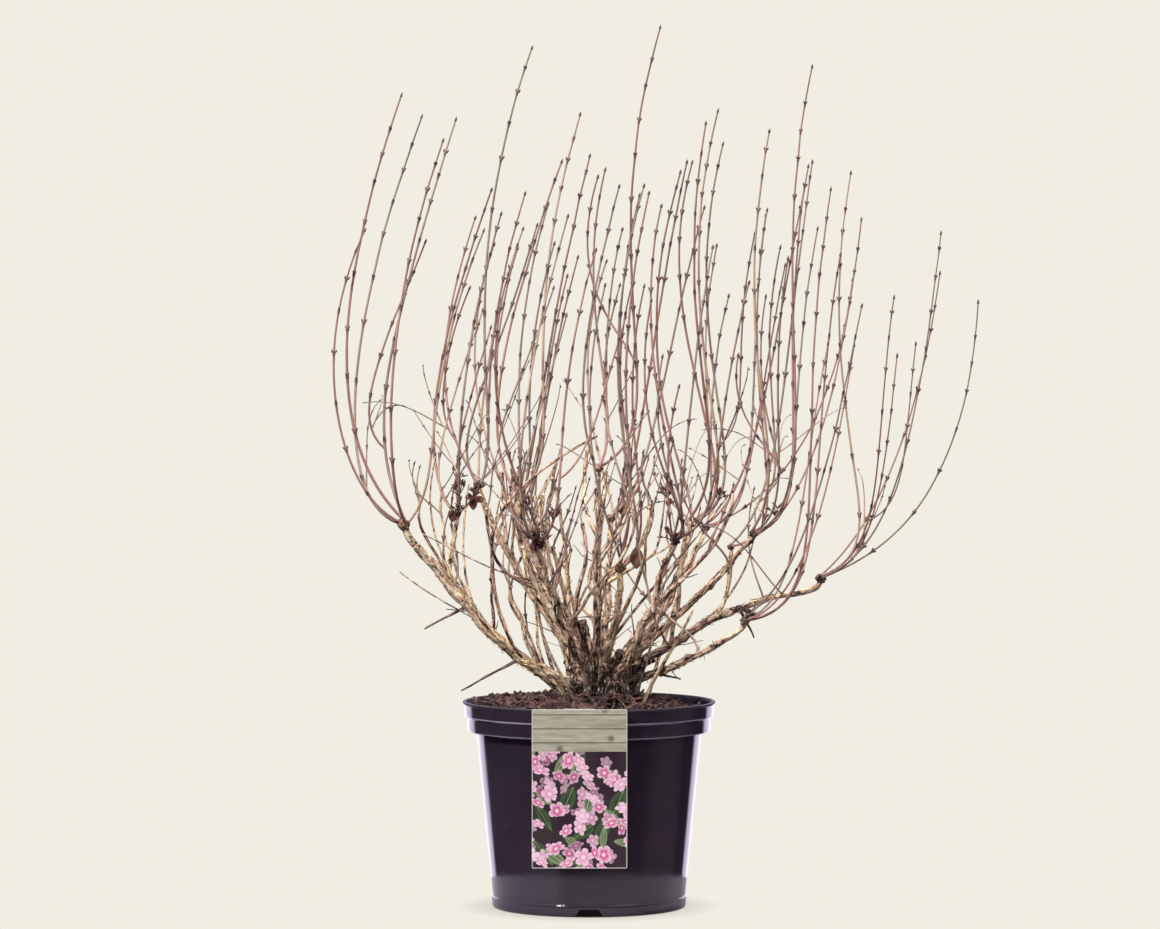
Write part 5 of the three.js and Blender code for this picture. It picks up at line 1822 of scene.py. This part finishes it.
def dress_twig(twig, skeleton, draw, step, bud_scale):
    """Adds a twig with its swollen joints to the skeleton, and its pairs of buds."""
    length = twig.curve.length()
    bare = twig.kind == "stub" or twig.kind == "branchlet" and draw() < 0.5
    pairs = [] if bare else node_distances(length, step, draw, 0.12 if twig.kind == "wand" else 0.2)
    marks = [*np.arange(0, length, MARK_STEP), length - 2.4, length - 0.9, length]
    for pair in pairs:
        marks = [mark for mark in marks if abs(mark - pair) > JOINT_FREE or mark > length - 3]
        marks += [pair + mark for mark in JOINT_MARKS]
    walked = np.unique(np.clip(np.round(marks, 2), 0, length))
    points = twig.curve.points_at(walked)
    side, across, ahead = line_frames(points)
    shares = walked / length
    radius = lerp(twig.thick, twig.thin, shares)
    if twig.kind == "wand":
        slim = lerp(*SLIM, smoothstep(twig.curve.points[3][0], *SLIM_FROM))
        radius = radius * (slim + SLIM_TIP * shares)
    for way in (side, across):
        slack = [0, *(0.9 * (draw() - 0.5) for _ in pairs), 0]
        points = points + way * np.interp(walked, [0, *pairs, length], slack)[:, None]
    joint = np.zeros(len(points))
    for pair in pairs:
        joint = np.maximum(joint, np.exp(-(((walked - pair) / 2.6) ** 2)))
        radius = radius * (1 + 0.5 * np.exp(-(((walked - pair + 0.4) / 1.7) ** 2)))
    radius = np.where(walked > length - 1.5, radius * 0.55, radius)
    skeleton.add(points, radius, joint, shares)
    if not bud_scale:
        return
    turn = 2 * math.pi * draw()
    for number, pair in enumerate(pairs):
        at = int(np.argmin(abs(walked - pair)))
        angle = turn + number * math.pi / 2 + 0.2 * (draw() - 0.5)
        out = side[at] * math.cos(angle) + across[at] * math.sin(angle)
        size = bud_scale * between(draw, (0.75, 1.1)) * (0.5 + 0.5 * min(1, radius[at] / 1.4))
        for way in (out, -out):
            aim = unit(ahead[at] * 0.86 + way * between(draw, (0.34, 0.56)))
            skeleton.buds.append((points[at] + way * radius[at] * 0.62 + ahead[at] * 0.4, aim, way, size))
    skeleton.buds.append((points[-1] - ahead[-1] * 5.5, ahead[-1], side[-1], bud_scale * 1.15))


def tinted_pieces(name, sets, sides, tints):
    """A piece for each tint's twigs, and the buds on them all."""
    grown = {tint: skeleton for tint, skeleton in sets.items() if skeleton.count}
    pieces = [skeleton.piece(f"{name}_{tint}", sides, tints[tint]) for tint, skeleton in grown.items()]
    return pieces, [bud for skeleton in grown.values() for bud in skeleton.buds]


def head_piece(mass, bark, stem_bark, knob_bark):
    """A mass's stem and the burry head that its twigs spring from."""
    heap = Heap()
    radius = mass.stem_radius
    seed = 60 + mass.index * 1.7
    radius_at = tapering(2 * radius, 0.8, 0.72)
    heap.add(*bark_tube(mass.stem, radius_at, bark.relief / MM, 22, bark.ring_step / MM, seed))
    heap.add(*lumpy_ball(mass.head, radius * STEM_SWELL * 0.8, 0.5, seed), kind=1)
    draw = seeded(SEED + 17 * mass.index)
    for number in range(5):
        spot = direction(360 * draw(), 80 * draw() - 30)
        size = radius * between(draw, (0.45, 0.7))
        heap.add(*lumpy_ball(mass.head + spot * radius * 1.05, size, 0.4, seed + number, 2), kind=1)
    return heap.piece(f"head_{mass.row.name}", stem_bark, knob_bark)


def joined(parts, name):
    """Several pieces as one mesh that keeps their materials and attributes."""
    piece = parts[0]
    with bpy.context.temp_override(active_object=piece, selected_editable_objects=parts, object=piece):
        bpy.ops.object.join()
    piece.name = piece.data.name = name
    return piece


def bud_template(length):
    """A pointed bud along Z, with two rows of scales."""
    shape = [(0.0, 0.15), (0.1, 0.26), (0.28, 0.31), (0.34, 0.27), (0.5, 0.28), (0.74, 0.19), (0.93, 0.07)]
    rings = [circle(length * reach, length * rise, 6) * (0.85, 1, 1) for rise, reach in shape]
    return bpy.data.objects.new("bud", fanned_mesh("bud", rings, -0.05 * length, length))


def capsule_template():
    """A dry beaked capsule along Z, split at its top."""
    flutes = 9 * np.array([1, 1.16] * 3)
    shape = [(0.0, 0.05), (0.1, 0.13), (0.35, 0.17), (0.62, 0.14), (0.82, 0.07), (1.0, 0.02)]
    points = np.concatenate([circle(reach * flutes, 12 * rise, 6) for rise, reach in shape])
    return new_template("capsule", points, capped_faces(len(shape), 6, 5))


def nearest_spot(masses, place):
    """The point of all twigs that is nearest to a place, with the twig's direction there."""
    best = None
    for mass in masses:
        for twig in mass.twigs:
            for share in np.linspace(0.02, 0.6, 30):
                point = twig.curve.at(share)
                apart = norm((point - place) * (1, 0.35, 1))
                if best is None or apart < best[0]:
                    best = (apart, point, twig.curve.tangent(share))
    return best[1], best[2]


def make_seed_heads(masses):
    """Clusters of dry capsules on thin stalks."""
    draw = seeded(SEED + 5)
    stalks = Skeleton()
    capsules = []
    shares = np.linspace(0, 1, 6)
    for place in SEED_HEADS:
        root, along = nearest_spot(masses, np.array(place, float))
        for _ in range(STALKS):
            aim = unit(along * 0.5 + direction(360 * draw(), between(draw, (-10, 75))))
            length = between(draw, STALK_LENGTH)
            tip = root + aim * length + direction(360 * draw(), 30) * 3
            line = Curve(root, root + aim * length * 0.4, tip - aim * length * 0.2, tip)
            stalks.add(line.points_at(shares * line.length()), lerp(0.75, 0.5, shares), np.zeros(6), shares)
            for _ in range(STALK_CAPSULES):
                turned = unit(aim + direction(360 * draw(), 80 * draw() - 20) * 0.8)
                facing = direction(360 * draw(), 0)
                capsules.append((tip - aim * 0.6, turned, facing, between(draw, (0.4, 0.8))))
    husk = scale_material("Seed husk", linear(112, 82, 68), linear(52, 36, 32))
    finish_piece(stalks.piece("capsule_stalks", 6, husk), "young_twigs")
    template = capsule_template()
    set_copies("seed_capsules", "young_twigs", template, husk, capsules)
    bpy.data.objects.remove(template)


def leaf_shape(crumple, rows=12):
    """A curled leaf that hangs down from the origin, thin but closed. Crumple shifts its waves."""
    points = []
    for side in (1, -1):
        for index in range(rows):
            share = index / (rows - 1)
            half = LEAF_HALF * math.sin(math.pi * min(1, share * 0.97 + 0.02)) ** 0.8
            for column in range(7):
                across = (column - 3) / 3
                wave = (1.2 + 0.5 * crumple) * math.sin(9 * share + 3 * across + crumple)
                rise = -(4.2 * across * across + wave) * half / LEAF_HALF - 3 * share * share
                points.append((across * half, rise + side * 0.14, -LEAF_LENGTH * share))
    back = rows * 7
    starts = [index * 7 + column for index in range(rows - 1) for column in range(6)]
    faces = [[a, a + 1, a + 8, a + 7] for a in starts]
    faces += [[back + corner for corner in reversed(face)] for face in faces]
    edge = [*range(7), *(k * 7 + 6 for k in range(1, rows))]
    edge += [*range(back - 2, back - 8, -1), *(k * 7 for k in range(rows - 2, 0, -1))]
    faces += [[one, two, two + back, one + back] for one, two in zip(edge, edge[1:] + edge[:1])]
    return np.array(points), faces


def make_dry_leaves(masses):
    """Curled brown leaves caught in the twigs, alone and in clumps."""
    draw = seeded(SEED + 9)
    heap = Heap()
    for place, count, size in DRY_LEAVES:
        root, _ = nearest_spot(masses, np.array(place, float))
        for number in range(count):
            points, faces = leaf_shape(6.5 * draw() if number else 0)
            loose = min(number, 1)
            turn = Euler([loose * between(draw, limits) for limits in ((-1.3, 1.3), (-1.3, 1.3), (0, 6.3))])
            scale = size * between(draw, (0.8, 1.0) if number else (1, 1))
            heap.add(points @ np.array(turn.to_matrix()).T * scale + root + (0, -1.5, 1), faces)
    piece = heap.piece("dry_leaves", scale_material("Dry leaf", linear(122, 72, 58), linear(66, 36, 32)))
    face_outwards(piece.data)
    finish_piece(piece, "young_twigs")


# ---- stage


def place_on_stage(name, data, place, target):
    """Puts a light or camera at a place, looking at the target."""
    holder = make_object(name, data)
    holder.location = place
    holder.rotation_euler = (Vector(target) - Vector(place)).to_track_quat("-Z", "Y").to_euler()
    return holder


def make_light(name, place, power, size):
    """A round light that looks at the plant; its power is in watts."""
    light = bpy.data.lights.new(name, "AREA")
    light.shape = "DISK"
    light.size = size
    light.energy = power
    place_on_stage(name, light, place, (0.0, 0.0, 0.45))


def make_floor(colour):
    """A pale round floor that fades into the backdrop and glows faintly, with a painted shadow under and
    around the pot's foot where the camera sees it.
    """
    sides = 96
    rings = [circle(radius / MM, -0.4, sides) for radius in (0.12, 0.3, 0.6, 0.9)]
    faces = ring_faces(len(rings), sides) + [list(range(sides))[::-1]]
    mesh = make_mesh("floor", np.concatenate(rings), faces)
    for polygon in mesh.polygons:
        if polygon.normal.z < 0:
            polygon.flip()
    material, shader = new_material("Studio floor")
    place = object_place(shader)
    reach = wired("VectorMath", {0: place}, operation="LENGTH")["Value"]
    pale = linear(178, 172, 178)
    tone = mixed(mapped(noisy(place, 90.0), 0.3, 0.7, 0.0, 0.05), pale, shaded(pale, 0.9))
    feed(shader.inputs["Base Color"], tone)
    feed(shader.inputs["Emission Color"], tone)
    feed(shader.inputs["Alpha"], mapped(reach, 0.29, 0.3, 1.0, 0.0))
    shader.inputs["Emission Strength"].default_value = 0.1
    shader.inputs["Roughness"].default_value = 0.9
    # Painted shadow for the camera: near black under the pot's foot, then a soft darker ring round it.
    painted_shadow = mixed(mapped(reach, 0.099, 0.108), linear(20, 16, 18), shaded(colour, 0.8))
    seen = mixed(mapped(reach, 0.108, 0.15), painted_shadow, colour)
    glow = wired("Emission", {"Color": seen})[0]
    feed(material.node_tree.nodes["Material Output"].inputs["Surface"], seen_or_cast(glow, shader.outputs[0]))
    floor = make_object("floor", mesh, material)


def seen_or_cast(seen, cast):
    """One shader for the camera to see, another for all other light."""
    ray = source(seen.node, "LightPath", "Is Camera Ray")
    return wired("MixShader", {0: ray, 1: cast, 2: seen})[0]


def make_world(scene, colour):
    """An even pale backdrop to look at, and a light that comes from above, behind and low at one side."""
    world = bpy.data.worlds.new("studio")
    world.use_nodes = True
    scene.world = world
    tree = world.node_tree
    tree.nodes.clear()
    x, y, z = wired("SeparateXYZ", {0: add_node(tree, "TexCoord")["Generated"]})
    behind = times(mapped(y, 0.74, 0.8), mapped(z, -0.45, -0.25))
    beside = times(mapped(x, 0.84, 0.95), mapped(z, 0.05, -0.1))
    low = mixed(beside, linear(52, 45, 60), linear(132, 114, 128))
    light = mixed(mapped(z, 0.0, 0.5), low, linear(232, 230, 240))
    light = mixed(behind, light, linear(232, 226, 252))
    strength = plus(1.0, times(behind, 1.3))
    seen = add_node(tree, "Background", {"Color": colour, "Strength": 1.0})[0]
    cast = wired("Background", {"Color": light, "Strength": strength})[0]
    feed(tree.nodes.new("ShaderNodeOutputWorld").inputs["Surface"], seen_or_cast(seen, cast))


# ---- operators


class WEIGELA_OT_pot(bpy.types.Operator):
    """Turn the pot with its stepped collar, cut the drain notches and give it its plastic"""

    bl_idname = "weigela.pot"
    bl_label = "Pot"

    def execute(self, context):
        settings = context.scene.weigela_pot
        outline = rounded(pot_profile(settings.wall / MM), settings.corner / MM)
        rings = [circle(radius, height, POT_FACETS) for radius, height in outline[1:-1]]
        piece = make_object("pot_shell", fanned_mesh("pot_shell", rings, outline[0][1], outline[-1][1]))
        cutter = notch_cutters()
        face_outwards(piece.data)
        face_outwards(cutter.data)
        notches = piece.modifiers.new("Notches", "BOOLEAN")
        notches.operation = "DIFFERENCE"
        notches.solver = "EXACT"
        notches.object = cutter
        make_plain(piece, plastic_material(settings))
        bpy.data.objects.remove(cutter)
        piece.data.shade_smooth()
        piece.data.set_sharp_from_angle(angle=math.radians(38))
        finish_piece(piece, "pot_plastic", "pot")
        return {"FINISHED"}


class WEIGELA_OT_compost(bpy.types.Operator):
    """Fill the pot with compost and strew bark chips, crumbs and straws on it"""

    bl_idname = "weigela.compost"
    bl_label = "Compost"

    def execute(self, context):
        settings = context.scene.weigela_compost
        soil = compost_material("Compost", settings.soil, shaded(settings.soil, 0.35), 420.0)
        body = make_object("compost", compost_mesh(context.scene.weigela_pot.wall / MM), soil)
        face_outwards(body.data)
        body.data.shade_smooth()
        finish_piece(body, "compost", "soil")
        red = compost_material("Red bark chip", linear(146, 100, 90), linear(36, 18, 18))
        brown = compost_material("Brown bark chip", linear(74, 48, 47), linear(12, 6, 7))
        pale = compost_material("Straw bit", linear(206, 178, 146), linear(140, 112, 86))
        chip = chip_template("chip", 13, 3.6, 1.9, 5)
        crumb = chip_template("crumb", 3.6, 2.8, 2.0, 9)
        straw = chip_template("straw", 24, 1.3, 0.9, 13)
        half = settings.chips // 2
        scatter("chips_red", half, 1, (0.4, 2.1), 40, chip, red, lift=2.0)
        scatter("chips_brown", half, 2, (0.4, 2.2), 44, chip, brown, lift=1.6)
        scatter("crumbs", settings.crumbs, 3, (0.4, 1.6), 60, crumb, soil)
        scatter("straws", settings.straws, 4, (0.3, 1.3), 16, straw, pale, away=44, lift=1.6)
        for template in (chip, crumb, straw):
            bpy.data.objects.remove(template)
        if settings.strands:
            fibre = compost_material("Root fibre", linear(160, 124, 98), linear(84, 56, 46))
            strands = root_strands(settings.strands).piece("root_strands", 6, fibre)
            finish_piece(strands, "compost")
        return {"FINISHED"}


class WEIGELA_OT_label(bpy.types.Operator):
    """Hang the printed card on the rim"""

    bl_idname = "weigela.label"
    bl_label = "Label"

    def execute(self, context):
        settings = context.scene.weigela_pot
        edge = card_edge_material()
        card = make_object("label_card", card_mesh(settings.card_corner / MM), edge, label_material(settings))
        face_outwards(card.data)
        for polygon in card.data.polygons:
            polygon.material_index = 1 if polygon.normal.y < -0.9 else 0
        bevel = card.modifiers.new("Edge", "BEVEL")
        bevel.width = 0.18 * MM
        bevel.segments = 2
        make_plain(card)
        finish_piece(card, "label_card", "label")
        hook = make_object("label_hook", hook_mesh(settings.wall / MM), edge)
        face_outwards(hook.data)
        finish_piece(hook, "label_card", "label")
        return {"FINISHED"}


class WEIGELA_OT_stool(bpy.types.Operator):
    """Model the knobby root stool and its old saw cuts"""

    bl_idname = "weigela.stool"
    bl_label = "Stool"

    def execute(self, context):
        heap, ends = grow_stool()
        piece = heap.piece("stool_wood")
        remesh = piece.modifiers.new("Fuse", "REMESH")
        remesh.mode = "VOXEL"
        remesh.voxel_size = 1.15 * MM
        make_plain(piece, listed_bark("Stool bark"))
        gnarl(piece.data, 1.3, SEAT + GAP)
        finish_piece(piece, "stool_wood", "stool")
        cuts = Heap()
        for end in ends:
            cuts.add(*cut_disc(*end))
        discs = cuts.piece("saw_cuts", cut_wood_material())
        map_mesh(discs.data, lambda place: disc_map(place, ends))
        finish_piece(discs, "stool_wood")
        return {"FINISHED"}


class WEIGELA_OT_boughs(bpy.types.Operator):
    """Grow the old boughs with their flaking bark and dead spurs"""

    bl_idname = "weigela.boughs"
    bl_label = "Boughs"

    def execute(self, context):
        settings = context.scene.weigela_bark
        mid = linear(212, 176, 150)
        straw = old_bark_material("Straw bark", settings.straw, mid, settings.dark, 0.27, 0.6, 265)
        brown, dead, pale = (listed_bark(name) for name in ("Brown bark", "Dead bark", "Loose bark"))
        look = (settings.relief / MM, settings.sides, settings.ring_step / MM)
        flakes = []
        bent = crooked_boughs()
        for number, row in enumerate(BOUGHS):
            node = f"bough_{row.name}"
            draw = seeded(SEED + len(node) * 31 + row.tip[0])
            heap = grow_bough(row, number, bent[row.name], look, draw)
            piece = heap.piece(f"bark_{row.name}", straw if row.name in STRAW_BOUGHS else brown, dead)
            finish_piece(piece, "old_bark", node)
            flakes += loose_flakes(row, bent[row.name], settings.flakes, draw)
        stems = Heap()
        for number, (bough, at, thick, thin, *points) in enumerate(THIN_STEMS):
            curve = Curve(bent[bough].at(at), *points) if bough else Curve(*points)
            tube = bark_tube(curve, tapering(1, thick, thin), 0.25, 12, 2.5, 40 + number)
            stems.add(*tube, kind=number % 2)
        finish_piece(stems.piece("thin_stems", straw, brown), "old_bark")
        if flakes:
            template = flake_template()
            set_copies("bark_flakes", "old_bark", template, pale, flakes)
            bpy.data.objects.remove(template)
        return {"FINISHED"}


class WEIGELA_OT_twigs(bpy.types.Operator):
    """Grow the masses of young twigs from their heads, with paired winter buds"""

    bl_idname = "weigela.twigs"
    bl_label = "Twigs and buds"

    def execute(self, context):
        settings = context.scene.weigela_twigs
        bark = context.scene.weigela_bark
        step = settings.node_step / MM
        masses, side_stems, side_shoots, stubs = grow_plant(settings)
        tints = {
            "red": young_bark_material("Young bark red", settings.red, linear(118, 88, 80)),
            "grey": young_bark_material("Young bark grey", settings.grey, linear(114, 94, 86)),
            "fawn": young_bark_material("Young bark fawn", settings.fawn, linear(132, 104, 94)),
            "dead": young_bark_material("Dead twig", linear(136, 112, 98), linear(104, 84, 76)),
        }
        straw, brown = bpy.data.materials["Straw bark"], bpy.data.materials["Brown bark"]
        knobs = listed_bark("Head bark")
        buds = []
        for mass in masses:
            draw = mass.fine
            sets = {tint: Skeleton() for tint in tints}
            for number, twig in enumerate(mass.twigs):
                if twig.kind == "branchlet":
                    tint = "dead" if draw() < 0.6 else "fawn"
                    dress_twig(twig, sets[tint], draw, step * 0.72, 0.55)
                else:
                    tint = ("red", "grey", "red", "grey", "red", "fawn")[(number + mass.index) % 6]
                    dress_twig(twig, sets[tint], draw, step, 1.0)
            parts, grown = tinted_pieces(mass.row.name, sets, settings.sides, tints)
            buds += grown
            parts.append(head_piece(mass, bark, straw, knobs))
            finish_piece(joined(parts, f"shoots_{mass.row.name}"), "young_twigs", f"twigs_{mass.row.name}")
        sets = {tint: Skeleton() for tint in tints}
        draw = seeded(SEED * 7)
        for number, twig in enumerate(side_shoots):
            dress_twig(twig, sets[("fawn", "red", "grey")[number % 3]], draw, step * 0.8, 0.8)
        for twig in stubs:
            dress_twig(twig, sets["dead"], draw, step, 0)
        parts, grown = tinted_pieces("wild", sets, settings.sides, tints)
        buds += grown
        if parts:
            finish_piece(joined(parts, "side_shoots"), "young_twigs")
        old = Heap()
        for number, (curve, thick) in enumerate(side_stems):
            radius_at = tapering(2 * thick, 1, SIDE_TAPER)
            kind = number % 2
            old.add(*bark_tube(curve, radius_at, bark.relief / MM / 2, 14, 2.5, 70 + number), kind=kind)
            old.add(*lumpy_ball(curve.at(1.0), radius_at(1) * 1.3, 0.45, number, 2), kind=kind)
        if side_stems:
            finish_piece(old.piece("side_stems", straw, brown), "old_bark")
        template = bud_template(settings.bud / MM)
        scales = scale_material("Bud scales", linear(120, 88, 78), linear(58, 41, 40))
        set_copies("winter_buds", "young_twigs", template, scales, buds)
        bpy.data.objects.remove(template)
        make_seed_heads(masses)
        make_dry_leaves(masses)
        return {"FINISHED"}


class WEIGELA_OT_stage(bpy.types.Operator):
    """Set the floor, the soft light and the camera"""

    bl_idname = "weigela.stage"
    bl_label = "Stage"

    def execute(self, context):
        settings = context.scene.weigela_stage
        make_floor(settings.backdrop)
        make_world(context.scene, settings.backdrop)
        make_light("key", (-1.7, -2.1, 2.4), 128, 0.6)
        make_light("fill", (2.2, -2.0, 1.4), 14, 1.6)
        make_light("top", (0.3, 0.6, 2.8), 42, 1.4)
        camera = bpy.data.cameras.new("camera")
        camera.lens = camera.sensor_width * settings.distance / settings.width
        aside = -0.010  # a little to the left of the pot's middle
        place = (aside, -settings.distance, settings.height)
        context.scene.camera = place_on_stage("camera", camera, place, (aside, 0, settings.aim))
        context.scene.view_settings.view_transform = "Standard"
        return {"FINISHED"}


class WEIGELA_PT_panel(bpy.types.Panel):
    """Lists the pieces in the order in which they are made"""

    bl_idname = "WEIGELA_PT_panel"
    bl_label = "Winter weigela"
    bl_space_type = "VIEW_3D"
    bl_region_type = "UI"
    bl_category = "Weigela"

    def draw(self, context):
        for operator, name in STEPS.items():
            settings = getattr(context.scene, name)
            box = self.layout.box()
            box.operator(operator.bl_idname)
            for key in settings.__annotations__:
                box.prop(settings, key)


# The operators in their order, each with the settings that it reads.
STEPS = {
    WEIGELA_OT_pot: "weigela_pot",
    WEIGELA_OT_compost: "weigela_compost",
    WEIGELA_OT_label: "weigela_pot",
    WEIGELA_OT_stool: "weigela_bark",
    WEIGELA_OT_boughs: "weigela_bark",
    WEIGELA_OT_twigs: "weigela_twigs",
    WEIGELA_OT_stage: "weigela_stage",
}
SETTINGS = {
    "weigela_pot": WeigelaPotSettings,
    "weigela_compost": WeigelaCompostSettings,
    "weigela_bark": WeigelaBarkSettings,
    "weigela_twigs": WeigelaTwigSettings,
    "weigela_stage": WeigelaStageSettings,
}
CLASSES = (*SETTINGS.values(), *STEPS, WEIGELA_PT_panel)


def register():
    for item in CLASSES:
        bpy.utils.register_class(item)
    for name, group in SETTINGS.items():
        setattr(bpy.types.Scene, name, bpy.props.PointerProperty(type=group))


def unregister():
    for name in SETTINGS:
        delattr(bpy.types.Scene, name)
    for item in reversed(CLASSES):
        bpy.utils.unregister_class(item)


def corners(box):
    return [[float(value) for value in corner] for corner in box]


def main():
    register()
    grain_group()
    strewn_group()
    blossom_group()
    skin_tree()
    setting_tree()
    bpy.ops.weigela.pot()
    bpy.ops.weigela.compost()
    bpy.ops.weigela.label()
    bpy.ops.weigela.stool()
    bpy.ops.weigela.boughs()
    bpy.ops.weigela.twigs()
    bpy.ops.weigela.stage()


if __name__ == "__main__":
    main()
